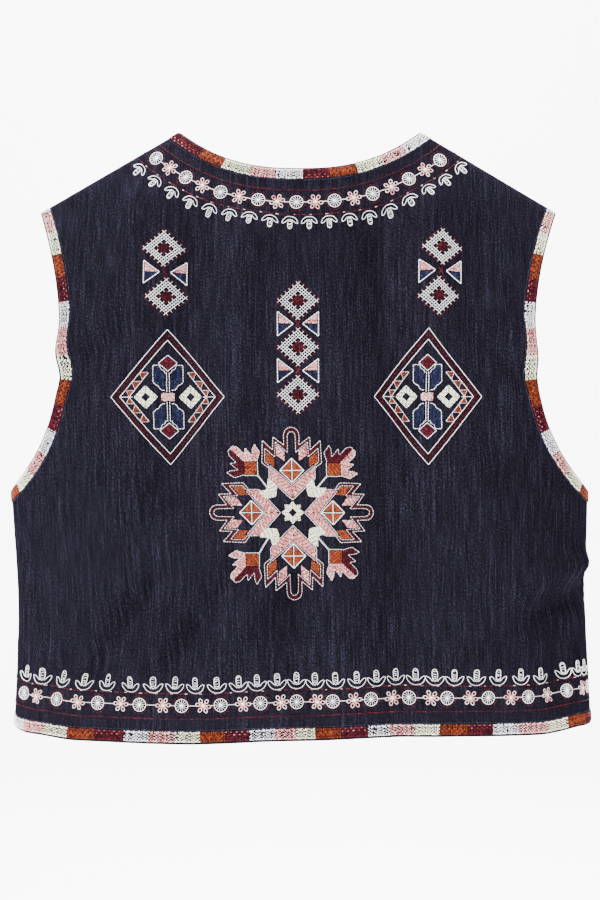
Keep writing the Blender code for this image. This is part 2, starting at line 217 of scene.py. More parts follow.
FRONT_CREASES = [
    ([(-165, -260), (-150, -425)], 24, 5.0),
    ([(-85, -300), (-90, -440)], 20, -4.2),
    ([(-120, -90), (-105, -190)], 20, 3.4),
    ([(-195, -190), (-130, -215)], 14, -3.6),
    ([(-220, -320), (-190, -420)], 12, -2.8),
    ([(-206, -300), (-176, -370)], 11, 2.4),
    ([(-50, -240), (-62, -380)], 14, 2.2),
    ([(150, -270), (160, -430)], 22, 4.8),
    ([(85, -330), (70, -445)], 20, -4.2),
    ([(125, -100), (110, -200)], 18, 3.2),
    ([(192, -200), (132, -222)], 13, -3.4),
    ([(222, -330), (200, -430)], 12, -2.6),
    ([(205, -300), (180, -366)], 11, 2.4),
    ([(45, -220), (60, -340)], 14, 2.0),
]


# Form of the hollow vest

def lengths_along(first, second):
    """Length from the start of a curve to each of its points."""
    return np.concatenate([[0.0], np.cumsum(np.hypot(np.diff(first), np.diff(second)))])


def smooth(share):
    share = np.clip(share, 0.0, 1.0)
    return share * share * (3 - 2 * share)


def half_width(z):
    return HALF_WIDTH - WAIST_DRAW_IN * np.exp(-(((z - WAIST_HEIGHT) / WAIST_REACH) ** 2))


def crest_height(x):
    """Height of the shoulder line, carried on in a smooth arch over the neck."""
    x = np.abs(x)
    arch = NECK_HALF_WIDTH * SHOULDER_SLOPE / 2 * (1 - (x / NECK_HALF_WIDTH) ** 2)
    return np.where(x > NECK_HALF_WIDTH, -(x - NECK_HALF_WIDTH) * SHOULDER_SLOPE, arch)


def seam_plane(z):
    tip_height = crest_height(SHOULDER_TIP)
    return SIDE_SEAM_FORWARD * smooth((z - tip_height) / (UNDERARM_HEIGHT - tip_height))


class Side:
    """The back or the front of the vest, and the places on its cloth."""

    def __init__(self, facing, depth, level, creases):
        self.facing = facing
        self.depth = depth
        self.level = level
        self.creases = [Crease(*row) for row in creases]
        angle = np.linspace(0.0, math.pi / 2, 600)
        self.across = np.sin(angle) ** (2 / SECTION_POWER)
        self.out = np.cos(angle) ** (2 / SECTION_POWER)
        self.girth = lengths_along(HALF_WIDTH * self.across, depth * self.out)
        self.half_girth = float(self.girth[-1])
        self.lift = np.sin(angle)
        self.lean = (1 - self.lift ** LEAN_START) ** (1 / LEAN_END)
        self.top_depth = depth + facing * SIDE_SEAM_FORWARD
        self.steepness = np.linspace(0.0, 1.2, 25)
        self.slope_length = np.array([lengths_along(self.lift, k * self.lean)[-1] for k in self.steepness])
        typical = lengths_along(self.lift, -self.top_depth / level * self.lean)
        self.climb = typical / typical[-1]

    def climb_length(self, share):
        """Length of cloth from the blades or chest up to the shoulder seam."""
        height = crest_height(share * HALF_WIDTH) - self.level
        depth = self.top_depth * np.interp(share, self.across, self.out)
        return height * np.interp(depth / height, self.steepness, self.slope_length)

    def pattern_place(self, x, z):
        """Girth and rise of the point of the form at x and z."""
        share = abs(x) / half_width(z)
        girth = math.copysign(float(np.interp(share, self.across, self.girth)), x)
        if z <= self.level:
            return girth, float(z)
        share = abs(x) / HALF_WIDTH
        lift = (z - self.level) / (crest_height(x) - self.level)
        climb = float(np.interp(lift, self.lift, self.climb)) * float(self.climb_length(share))
        return girth, self.level + climb

    def shoulder_rise(self, girth):
        share = np.interp(np.abs(girth), self.girth, self.across)
        return self.level + self.climb_length(share)

    def on_form(self, girth, rise):
        """Points of the smooth form. Past a side seam the section carries on round the body."""
        distance = np.abs(girth)
        past = distance > self.half_girth
        distance = np.where(past, 2 * self.half_girth - distance, distance)
        share = np.interp(distance, self.girth, self.across)
        out = np.interp(distance, self.girth, self.out) * np.where(past, -1.0, 1.0)
        climbed = np.clip((rise - self.level) / self.climb_length(share), 0.0, 1.0)
        lift = np.interp(climbed, self.climb, self.lift)
        lean = np.interp(climbed, self.climb, self.lean)
        high = self.level + (crest_height(share * HALF_WIDTH) - self.level) * lift
        z = np.where(rise > self.level, high, rise)
        x = share * np.where(rise > self.level, HALF_WIDTH, half_width(z))
        seam_y = seam_plane(z)
        depth = self.depth + self.facing * (SIDE_SEAM_FORWARD - seam_y)
        y = seam_y + self.facing * (SEAM_GAP / 2 + depth * out * lean)
        sway = SWAY * np.sin(2 * math.pi * z / SWAY_PERIOD)
        return np.stack([np.copysign(x, girth) + sway, y, z], axis=-1)

    def normal(self, girth, rise):
        """Unit normals, away from the body. At a seam they lie in the seam's plane."""
        step = 0.4
        on_seam = np.abs(np.abs(girth) - self.half_girth) < 0.001
        on_seam |= np.abs(rise - self.shoulder_rise(girth)) < 0.001
        rise = np.minimum(rise, self.shoulder_rise(girth) - step)
        round_body = self.on_form(girth + step, rise) - self.on_form(girth - step, rise)
        up_cloth = self.on_form(girth, rise + step) - self.on_form(girth, rise - step)
        normal = np.cross(round_body, up_cloth) * -self.facing
        normal[on_seam, 1] = 0.0
        return normal / np.linalg.norm(normal, axis=-1, keepdims=True)

    def crease(self, girth, rise):
        """How far the creases and the pressed seams lift the cloth off its form."""
        total = np.zeros_like(girth)
        for crease in self.creases:
            distance = np.full_like(girth, np.inf)
            for start, end in zip(crease.line, crease.line[1:]):
                start = np.array(start, float)
                along = np.array(end, float) - start
                x, y = girth - start[0], rise - start[1]
                share = np.clip((x * along[0] + y * along[1]) / along.dot(along), 0.0, 1.0)
                distance = np.minimum(distance, np.hypot(x - share * along[0], y - share * along[1]))
            total += crease.height * np.exp(-((distance / crease.reach) ** 2))
        to_side, to_shoulder = self.half_girth - np.abs(girth), self.shoulder_rise(girth) - rise
        to_seam = np.minimum(np.abs(to_side), np.abs(to_shoulder))
        total *= smooth(to_seam / SEAM_SLACK)
        return total - SEAM_DITCH * np.exp(-((to_seam / SEAM_DITCH_REACH) ** 2))

    def on_cloth(self, girth, rise, height):
        """Points of the creased cloth in metres, with a height off it."""
        girth = np.asarray(girth, float)
        rise = np.asarray(rise, float)
        lifted = self.crease(girth, rise) + height
        return (self.on_form(girth, rise) + self.normal(girth, rise) * lifted[:, None]) * MM


BACK = Side(facing=-1, depth=BACK_DEPTH, level=BLADE_HEIGHT, creases=BACK_CREASES)
FRONT = Side(facing=1, depth=FRONT_DEPTH, level=CHEST_HEIGHT, creases=FRONT_CREASES)


# Edges of the cut pieces

def spaced(points, step):
    """The same line with its points an even step apart."""
    points = np.array(points, float)
    length = lengths_along(points[:, 0], points[:, 1])
    count = max(1, round(length[-1] / step))
    places = np.linspace(0.0, length[-1], count + 1)
    return np.stack([np.interp(places, length, points[:, axis]) for axis in (0, 1)], axis=1)


def hem_rise(side, girth):
    share = girth / side.half_girth
    if side.facing > 0:
        share = math.copysign(1.0, girth)
    for (low, low_lift), (high, high_lift) in zip(HEM_LIFT, HEM_LIFT[1:]):
        if share <= high or high == HEM_LIFT[-1][0]:
            climbed = float(smooth((share - low) / (high - low)))
            return HEM_HEIGHT + low_lift + (high_lift - low_lift) * climbed


def hem_edge(side, start, end):
    return spaced([(girth, hem_rise(side, girth)) for girth in np.linspace(start, end, 200)], OUTLINE_STEP)


def armhole_edge(side, hand):
    """From the underarm up to the shoulder tip. hand is -1 on the left of the body and +1 on the right."""
    waist = BACK_ARMHOLE_WAIST if side.facing < 0 else FRONT_ARMHOLE_WAIST
    tip_height = float(crest_height(SHOULDER_TIP))
    bottom = half_width(UNDERARM_HEIGHT)
    line = []
    for share in np.linspace(1.0, 0.0, 100):
        z = ARMHOLE_WAIST_HEIGHT + (UNDERARM_HEIGHT - ARMHOLE_WAIST_HEIGHT) * share
        x = waist + (bottom - waist) * share ** ARMHOLE_BOTTOM_POWER
        line.append(side.pattern_place(hand * x, z))
    for share in np.linspace(0.0, 1.0, 100)[1:]:
        z = ARMHOLE_WAIST_HEIGHT + (tip_height - ARMHOLE_WAIST_HEIGHT) * share
        x = waist + (SHOULDER_TIP - waist) * share ** ARMHOLE_TOP_POWER
        line.append(side.pattern_place(hand * x, z))
    line[0] = (hand * side.half_girth, UNDERARM_HEIGHT)
    line[-1] = (line[-1][0], float(side.shoulder_rise(line[-1][0])))
    return spaced(line, OUTLINE_STEP)


def back_neck_edge():
    """From the right shoulder neck point round the neck to the left one."""
    line = []
    for angle in np.linspace(0.0, math.pi, 200):
        x = NECK_HALF_WIDTH * math.cos(angle)
        z = -BACK_NECK_DROP * (1 - (abs(x) / NECK_HALF_WIDTH) ** BACK_NECK_POWER)
        line.append(BACK.pattern_place(x, z))
    line = spaced(line, OUTLINE_STEP)
    line[[0, -1], 1] = BACK.shoulder_rise(line[[0, -1], 0])
    return line


def front_edge(hand):
    """From the hem up the front edge and round the neck to the shoulder neck point."""
    edge_girth = FRONT.pattern_place(hand * FRONT_EDGE, FRONT_NECK_HEIGHT)[0]
    line = [(edge_girth, hem_rise(FRONT, edge_girth))]
    for angle in np.linspace(0.0, math.pi / 2, 160):
        share = math.sin(angle)
        x = FRONT_EDGE + (NECK_HALF_WIDTH - FRONT_EDGE) * share
        z = FRONT_NECK_HEIGHT * (1 - share ** FRONT_NECK_POWER)
        line.append(FRONT.pattern_place(hand * x, z))
    line = spaced(line, OUTLINE_STEP)
    line[-1, 1] = FRONT.shoulder_rise(line[-1, 0])
    return line


def shoulder_edge(side, hand):
    """Between, and without, the shoulder tip and the neck point."""
    tip = side.pattern_place(SHOULDER_TIP, float(crest_height(SHOULDER_TIP)))[0]
    neck = side.pattern_place(NECK_HALF_WIDTH, 0.0)[0]
    girths = hand * np.linspace(tip, neck, 40)
    return spaced(np.stack([girths, side.shoulder_rise(girths)], axis=1), OUTLINE_STEP)[1:-1]


def side_edge(side, hand):
    """Between, and without, the hem and the underarm."""
    girth = hand * side.half_girth
    return spaced([(girth, hem_rise(side, girth)), (girth, UNDERARM_HEIGHT)], OUTLINE_STEP)[1:-1]


# Materials

def linear(hex_colour):
    """An sRGB hex colour as linear light."""
    light = []
    for start in (1, 3, 5):
        value = int(hex_colour[start:start + 2], 16) / 255
        light.append(value / 12.92 if value <= 0.04045 else ((value + 0.055) / 1.055) ** 2.4)
    return light + [1.0]


def add_node(tree, kind, settings=None, inputs=None):
    """Adds a node, sets its settings, and fills or links its inputs."""
    node = tree.nodes.new(kind)
    for name, value in (settings or {}).items():
        setattr(node, name, value)
    for name, value in (inputs or {}).items():
        socket = node.inputs[name]
        if isinstance(value, bpy.types.NodeSocket):
            tree.links.new(value, socket)
        else:
            socket.default_value = value
    return node


def new_material(name):
    material = bpy.data.materials.new(name)
    material.use_nodes = True
    shader = material.node_tree.nodes["Principled BSDF"]
    return material, material.node_tree, shader


def worked_out(tree, operation, *values):
    """The value that a math node works out from numbers or other nodes' values."""
    node = add_node(tree, "ShaderNodeMath", {"operation": operation}, dict(enumerate(values)))
    return node.outputs["Value"]


def from_range(tree, value, low, high, ends=(0.0, 1.0), interpolation="LINEAR"):
    """A value between low and high as a share between the two ends."""
    return add_node(tree, "ShaderNodeMapRange", {"interpolation_type": interpolation}, {
        "Value": value, "From Min": low, "From Max": high, "To Min": ends[0], "To Max": ends[1]
    }).outputs["Result"]


def stretched(tree, place, along_girth, up_cloth):
    return add_node(tree, "ShaderNodeMapping", inputs={
        "Vector": place, "Scale": (along_girth, up_cloth, 1.0)}).outputs["Vector"]


def cloth_noise(tree, place, roughness, scale=1.0):
    return add_node(tree, "ShaderNodeTexNoise", {"noise_dimensions": "2D"}, {
        "Vector": place, "Scale": scale, "Detail": 2.0, "Roughness": roughness}).outputs["Fac"]


def slanting_bands(tree, place, inputs):
    return add_node(tree, "ShaderNodeTexWave", {"wave_type": "BANDS", "bands_direction": "DIAGONAL"}, {
        "Vector": place, **inputs}).outputs["Fac"]


def shaded(tree, value, low, high, between=()):
    """The colour for a value: low at 0, high at 1, and the others at their shares."""
    shades = add_node(tree, "ShaderNodeValToRGB", inputs={"Fac": value})
    ramp = shades.color_ramp
    ramp.elements[0].color = linear(low)
    ramp.elements[1].color = linear(high)
    for share, colour in between:
        ramp.elements.new(share).color = linear(colour)
    return shades.outputs["Color"]


def raised_by(tree, height, strength):
    """Normals of a fine relief."""
    return add_node(tree, "ShaderNodeBump", inputs={
        "Strength": strength, "Distance": 0.0002, "Height": height}).outputs["Normal"]


def navy_slub_cotton():
    """Yarn-dyed cotton: matt, nearly black navy, with uneven bluish warp yarns and a small broken twill."""
    material, tree, shader = new_material("navy_slub_cotton")
    place = add_node(tree, "ShaderNodeUVMap", {"uv_map": "Pattern"}).outputs["UV"]
    across = add_node(tree, "ShaderNodeSeparateXYZ", inputs={"Vector": place}).outputs["X"]

    # slub yarns: raised columns 2 mm wide and 5 to 12 mm apart that fade in and out along the warp
    drift = add_node(tree, "ShaderNodeTexNoise", {"noise_dimensions": "1D"}, {
        "W": worked_out(tree, "MULTIPLY", across, 0.125), "Scale": 1.0, "Detail": 1.0, "Roughness": 0.4})
    off_column = worked_out(tree, "ABSOLUTE", worked_out(tree, "SUBTRACT", drift.outputs["Fac"], 0.5))
    column = from_range(tree, off_column, 0.0, 0.06, ends=(1.0, 0.0), interpolation="SMOOTHSTEP")
    patch = from_range(tree, cloth_noise(tree, stretched(tree, place, 0.04, 0.013), 0.5), 0.34, 0.62)
    column = worked_out(tree, "MULTIPLY", column, patch)

    # fine warp stripes a little over 1 mm apart
    warp = cloth_noise(tree, stretched(tree, place, 0.70, 0.035), 0.6)

    # broken twill: slanting marks 1.8 mm apart, drawn about twice as coarse as the real yarns so they show
    twill = slanting_bands(tree, stretched(tree, place, 0.60, 0.42), {
        "Scale": 0.55, "Distortion": 5.0, "Detail": 2.0, "Detail Scale": 1.6, "Detail Roughness": 0.6})
    speck = cloth_noise(tree, place, 0.75, scale=0.62)
    marks = worked_out(tree, "MULTIPLY_ADD", twill, 0.36, speck)

    tone = worked_out(tree, "MULTIPLY_ADD", worked_out(tree, "MULTIPLY", column, marks), 0.24, warp)
    tone = worked_out(tree, "MULTIPLY_ADD", marks, 1.3, tone)
    colour = shaded(tree, from_range(tree, tone, 0.95, 2.15), "#08080b", "#2f2c3c",
                    between=[(0.3, "#0e0c13"), (0.6, "#1a1820")])
    tree.links.new(colour, shader.inputs["Base Color"])
    tree.links.new(raised_by(tree, tone, 0.6), shader.inputs["Normal"])
    shader.inputs["Roughness"].default_value = 0.8
    shader.inputs["Specular IOR Level"].default_value = 0.0
    return material


def stranded_cotton(name, low, middle, high, gloss):
    """Embroidery cotton: soft gloss along the thread, with its strands twisted about 1 mm apart."""
    material, tree, shader = new_material(name)
    place = add_node(tree, "ShaderNodeUVMap", {"uv_map": "Thread"}).outputs["UV"]
    tone = add_node(tree, "ShaderNodeAttribute", {"attribute_name": "tone"}).outputs["Fac"]
    strands = slanting_bands(tree, place, {"Scale": 0.9, "Distortion": 0.8, "Detail": 1.0})
    shade = worked_out(tree, "MULTIPLY_ADD", strands, 0.32, tone)
    tree.links.new(shaded(tree, shade, low, high, between=[(0.55, middle)]), shader.inputs["Base Color"])
    tree.links.new(raised_by(tree, strands, 0.5), shader.inputs["Normal"])
    shader.inputs["Roughness"].default_value = 0.5
    shader.inputs["Specular IOR Level"].default_value = gloss
    return material


NAVY_CLOTH = navy_slub_cotton()
WHITE, PINK, CREAM, RUST, WINE, BLUE, SLATE = range(7)
THREADS = [
    stranded_cotton("white_cotton_thread", "#8c8896", "#ecebf0", "#fdfdfe", gloss=0.3),
    stranded_cotton("pink_cotton_thread", "#8a3a40", "#dc8786", "#f3d4cd", gloss=0.15),
    stranded_cotton("cream_cotton_thread", "#8b8966", "#f1f1c8", "#fdfdec", gloss=0.3),
    stranded_cotton("rust_cotton_thread", "#38100a", "#662815", "#9a4725", gloss=0.05),
    stranded_cotton("wine_cotton_thread", "#1a070b", "#3a0d16", "#64202a", gloss=0.03),
    stranded_cotton("blue_cotton_thread", "#0c0e1c", "#181b32", "#34395c", gloss=0.03),
    stranded_cotton("slate_cotton_thread", "#1c202e", "#303648", "#4b536a", gloss=0.03),
]
TAPE_CYCLE = [WHITE, PINK, CREAM, RUST, WINE]


# Cloth panels

def inside(points, outline):
    """Which of the points lie within a closed outline."""
    within = np.zeros(len(points), bool)
    x, y = points[:, 0], points[:, 1]
    for (x1, y1), (x2, y2) in zip(outline, np.roll(outline, -1, axis=0)):
        crosses = (y1 > y) != (y2 > y)
        if crosses.any():
            within ^= crosses & (x < x1 + (y - y1) * (x2 - x1) / (y2 - y1 or 1.0))
    return within


def panel_points(side, outline):
    """Points of a panel: even rows inside, kept clear of the outline."""
    low, high = outline.min(axis=0), outline.max(axis=0)
    row_height = CELL * math.sqrt(3) / 2
    rows = []
    for number in range(int((high[1] - low[1]) / row_height) + 1):
        girths = np.arange(low[0] + CELL / 2 * (number % 2), high[0], CELL)
        rows.append(np.stack([girths, np.full_like(girths, low[1] + number * row_height)], axis=1))
    points = np.concatenate(rows)
    points = points[inside(points, outline)]
    clear = np.ones(len(points), bool)
    for place in outline:
        clear &= np.hypot(points[:, 0] - place[0], points[:, 1] - place[1]) > CLEAR_OF_EDGES * CELL
    return points[clear]


def cloth_panel(name, node, side, outline):
    """A panel of cloth with its turned and rounded edges, on the form of its solid."""
    inner_points = panel_points(side, outline)
    flat = np.concatenate([outline, inner_points])
    count = len(outline)
    edges = [(index, (index + 1) % count) for index in range(count)]
    corners, _, triangles, _, _, _ = delaunay_2d_cdt(
        [Vector(point) for point in flat], edges, [list(range(count))], 1, 0.001)
    flat = np.array([(corner.x, corner.y) for corner in corners])
    flat[:count] = outline

    # the rim stands out a little halfway through the cloth, and the inner face lies a cloth's thickness in
    before, after = np.roll(outline, 1, axis=0), np.roll(outline, -1, axis=0)
    along = after - before
    out_of_edge = np.stack([along[:, 1], -along[:, 0]], axis=1)
    out_of_edge /= np.linalg.norm(out_of_edge, axis=1, keepdims=True)
    free = np.abs(np.abs(outline[:, 0]) - side.half_girth) > 0.01
    free &= np.abs(side.shoulder_rise(outline[:, 0]) - outline[:, 1]) > 0.01
    rim = outline + out_of_edge * (RIM_BULGE * free)[:, None]
    outer = side.on_cloth(flat[:, 0], flat[:, 1], np.zeros(len(flat)))
    middle = side.on_cloth(rim[:, 0], rim[:, 1], np.full(count, -CLOTH / 2))
    inner = side.on_cloth(flat[:, 0], flat[:, 1], np.full(len(flat), -CLOTH))
    points = np.concatenate([outer, middle, inner])
    pattern = np.concatenate([flat, rim, flat])
    first_middle = len(flat)
    first_inner = len(flat) + count

    faces = []
    for triangle in triangles:
        (x1, y1), (x2, y2), (x3, y3) = flat[list(triangle)]
        turns_left = (x2 - x1) * (y3 - y1) - (y2 - y1) * (x3 - x1) > 0
        turn = list(triangle) if turns_left == (side.facing < 0) else list(reversed(triangle))
        faces.append(turn)
        faces.append([first_inner + index for index in reversed(turn)])
    for start, end in edges:
        if side.facing > 0:
            start, end = end, start
        faces.append([end, start, first_middle + start, first_middle + end])
        faces.append([first_middle + end, first_middle + start, first_inner + start, first_inner + end])

    panel = mesh_object(name, points, faces, [NAVY_CLOTH])
    layer = panel.data.uv_layers.new(name="Pattern")
    corner_points = np.empty(len(panel.data.loops), int)
    panel.data.loops.foreach_get("vertex_index", corner_points)
    layer.data.foreach_set("uv", pattern[corner_points].astype(np.float32).ravel())
    panel.data.shade_smooth()
    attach(panel, "root")
    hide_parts(node)
    return panel


def mesh_object(name, points, faces, materials):
    mesh = bpy.data.meshes.new(name)
    mesh.from_pydata([tuple(point) for point in points], [], faces)
    for material in materials:
        mesh.materials.append(material)
    piece = bpy.data.objects.new(name, mesh)
    bpy.context.scene.collection.objects.link(piece)
    return piece


# Threads: each kind is modelled once, and its copies are laid on the cloth

@dataclass
class Thread:
    points: np.ndarray
    faces: list


def taken_as_thread(piece):
    """Keeps the modelled mesh as points and faces, and clears the object away."""
    mesh = piece.data
    points = np.array([vertex.co[:] for vertex in mesh.vertices])
    faces = [list(polygon.vertices) for polygon in mesh.polygons]
    bpy.data.objects.remove(piece)
    bpy.data.meshes.remove(mesh)
    return Thread(points, faces)


def select_faces(mesh, wanted):
    bpy.ops.object.mode_set(mode="OBJECT")
    for polygon in mesh.polygons:
        polygon.select = wanted(polygon)
    for edge in mesh.edges:
        edge.select = False
    for vertex in mesh.vertices:
        vertex.select = False
    for polygon in mesh.polygons:
        if polygon.select:
            for index in polygon.vertices:
                mesh.vertices[index].select = True
    bpy.ops.object.mode_set(mode="EDIT")
    bpy.ops.mesh.select_mode(type="FACE")


def model_stitch():
    """One stitch, a unit long, wide and high: half a round thread that dives into the cloth at both ends."""
    bpy.ops.object.select_all(action="DESELECT")
    bpy.ops.mesh.primitive_cylinder_add(vertices=6, radius=0.5, depth=0.80, end_fill_type="NGON")
    stitch = bpy.context.object
    bpy.ops.object.mode_set(mode="EDIT")
    bpy.ops.mesh.select_all(action="SELECT")
    bpy.ops.transform.rotate(value=math.pi / 2, orient_axis="X", center_override=(0, 0, 0))
    bpy.ops.transform.rotate(value=math.pi / 6, orient_axis="Y", center_override=(0, 0, 0))
    bpy.ops.mesh.bisect(plane_co=(0, 0, 0), plane_no=(0, 0, 1), clear_inner=True, use_fill=True)
    bpy.ops.mesh.select_all(action="SELECT")
    bpy.ops.transform.resize(value=(1, 1, 2), center_override=(0, 0, 0))
    for end in (-1, 1):
        select_faces(stitch.data, lambda polygon: polygon.normal.y * end > 0.9)
        bpy.ops.mesh.extrude_region_move(TRANSFORM_OT_translate={"value": (0, 0.10 * end, 0)})
        bpy.ops.transform.resize(value=(0.45, 1, 0.30), center_override=(0, 0.5 * end, 0))
    bpy.ops.object.mode_set(mode="OBJECT")
    return taken_as_thread(stitch)


def model_ring(turns, strands, thickness):
    """A round of thread of radius 1."""
    bpy.ops.object.select_all(action="DESELECT")
    bpy.ops.mesh.primitive_torus_add(major_segments=turns, minor_segments=strands, major_radius=1.0,
                                     minor_radius=thickness)
    return taken_as_thread(bpy.context.object)


def model_knot():
    """A small round knot, a unit wide and high."""
    bpy.ops.object.select_all(action="DESELECT")
    bpy.ops.mesh.primitive_ico_sphere_add(subdivisions=1, radius=0.5)
    knot = bpy.context.object
    bpy.ops.object.mode_set(mode="EDIT")
    bpy.ops.mesh.select_all(action="SELECT")
    bpy.ops.transform.resize(value=(1, 1, 0.8), center_override=(0, 0, 0))
    bpy.ops.object.mode_set(mode="OBJECT")
    return taken_as_thread(knot)


STITCH = model_stitch()
RIM_RING = model_ring(20, 5, 0.043)
PETAL_LOOP = model_ring(12, 5, 0.23)
KNOT = model_knot()


def on_circle(radius, angle):
    return radius * math.cos(angle), radius * math.sin(angle)


def scaled(points, share):
    return [(x * share, y * share) for x, y in points]


class Spot:
    """A place on the cloth where a motif is worked, turned and sized."""

    def __init__(self, centre, turn=0.0, size=(1.0, 1.0)):
        self.centre = np.array(centre, float)
        self.right = np.array([math.cos(turn), math.sin(turn)]) * size[0]
        self.up = np.array([-math.sin(turn), math.cos(turn)]) * size[1]

    def at(self, x, y):
        return self.centre + self.right * x + self.up * y

    def turned(self, x=0.0, y=0.0, turn=0.0, size=(1.0, 1.0)):
        """A spot at x and y in this one, turned and sized further."""
        inner = Spot(self.at(x, y))
        cosine, sine = math.cos(turn), math.sin(turn)
        inner.right = (self.right * cosine + self.up * sine) * size[0]
        inner.up = (self.up * cosine - self.right * sine) * size[1]
        return inner


class Work:
    """The threads of one piece of embroidery, laid flat first and then on the cloth."""

    def __init__(self, name, side, unevenness=0.16):
        self.name = name
        self.side = side
        self.unevenness = unevenness
        self.laid = {}

    def lay(self, kind, colour, centre, across, along, thickness, base=-0.1, lighter=0.0):
        """Lays one modelled thread; across and along are its width and length as directions."""
        tone = CHANCE.gauss(0.42 + lighter, self.unevenness)
        self.laid.setdefault(id(kind), (kind, []))[1].append(
            (colour, *centre, *across, *along, thickness, base, tone))

    def stitch(self, colour, start, end, width=1.05, thickness=0.75, base=-0.1, lighter=0.0):
        start, end = np.array(start, float), np.array(end, float)
        along = end - start
        length = float(np.hypot(*along))
        if length < 0.3:
            return
        across = np.array([along[1], -along[0]]) / length * width
        wobble = np.array([CHANCE.uniform(-0.08, 0.08), CHANCE.uniform(-0.08, 0.08)])
        self.lay(STITCH, colour, (start + end) / 2 + wobble, across, along, thickness, base, lighter)

    def line(self, colour, spot, points, length=2.3, gap=0.25, width=0.95, closed=False, **thread):
        """A line of stitches through the points."""
        points = [spot.at(*point) for point in points]
        if closed:
            points.append(points[0])
        for start, end in zip(points, points[1:]):
            whole = float(np.hypot(*(end - start)))
            count = max(1, round(whole / (length + gap)))
            cut = gap / 2 / whole * count
            for index in range(count):
                first = start + (end - start) * (index + cut) / count
                last = start + (end - start) * (index + 1 - cut) / count
                self.stitch(colour, first, last, width, **thread)

    def satin(self, colour, spot, outline, slant, pitch=1.05, width=0.93, longest=3.3, **thread):
        """Parallel stitches that fill an outline, the long ones worked in shorter ones that meet at
        staggered places. slant is the stitches' direction in degrees."""
        angle = math.radians(slant)
        along = np.array([math.cos(angle), math.sin(angle)])
        across = np.array([-along[1], along[0]])
        outline = np.array(outline, float)
        length, offset = outline @ along, outline @ across
        row = 0
        step = offset.min() + pitch / 2
        while step < offset.max():
            cuts = []
            for index in range(len(outline)):
                following = (index + 1) % len(outline)
                low, high = offset[index], offset[following]
                if (low > step) != (high > step):
                    share = (step - low) / (high - low)
                    cuts.append(length[index] + (length[following] - length[index]) * share)
            cuts.sort()
            for first, last in zip(cuts[::2], cuts[1::2]):
                places = [first + CHANCE.uniform(-0.12, 0.12), last + CHANCE.uniform(-0.12, 0.12)]
                if last - first > longest * 1.4:
                    share = row * 0.382 % 1.0
                    joins = np.arange(first + longest * (0.35 + share), last - longest * 0.3, longest)
                    places[1:1] = [join + CHANCE.uniform(-0.3, 0.3) for join in joins]
                for start, end in zip(places, places[1:]):
                    if end - start > 0.6:
                        self.stitch(colour, spot.at(*(along * (start + 0.22) + across * step)),
                                    spot.at(*(along * (end - 0.22) + across * step)), width, **thread)
            step += pitch
            row += 1

    def finish(self, replaced=()):
        """Joins the laid threads into one piece on the cloth."""
        points, faces, colours, tones, strand_places = [], [], [], [], []
        first = 0
        for kind, rows in self.laid.values():
            table = np.array(rows)
            table = table[table[:, 2] < self.side.shoulder_rise(table[:, 1]) - SEAM_MARGIN]
            centre, across, along = table[:, 1:3], table[:, 3:5], table[:, 5:7]
            thickness, base, tone = table[:, 7], table[:, 8], table[:, 9]
            x, y, z = kind.points.T
            flat = centre[:, None] + x[None, :, None] * across[:, None] + y[None, :, None] * along[:, None]
            height = z[None, :] * thickness[:, None] + base[:, None]
            points.append(self.side.on_cloth(flat[..., 0].ravel(), flat[..., 1].ravel(), height.ravel()))
            widths, lengths = np.hypot(*across.T), np.hypot(*along.T)
            places = np.stack([x[None, :] * widths[:, None], y[None, :] * lengths[:, None]], axis=-1)
            strand_places.append(places.reshape(-1, 2))
            tones.append(np.repeat(tone, len(x)))
            for row in range(len(table)):
                faces += [[first + index for index in face] for face in kind.faces]
                colours += [int(table[row, 0])] * len(kind.faces)
                first += len(x)
        used = sorted(set(colours))
        piece = mesh_object(self.name, np.concatenate(points), faces, [THREADS[colour] for colour in used])
        mesh = piece.data
        mesh.polygons.foreach_set("material_index", [used.index(colour) for colour in colours])
        tone_values = mesh.attributes.new("tone", "FLOAT", "POINT")
        tone_values.data.foreach_set("value", np.concatenate(tones).astype(np.float32))
        layer = mesh.uv_layers.new(name="Thread")
        corner_points = np.empty(len(mesh.loops), int)
        mesh.loops.foreach_get("vertex_index", corner_points)
        layer.data.foreach_set("uv", np.concatenate(strand_places)[corner_points].astype(np.float32).ravel())
        mesh.shade_smooth()
        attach(piece, "root")
        if replaced:
            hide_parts(*replaced)
        return piece


# Edging and band, worked along a cut edge

LEAN_LIMIT = 1.3


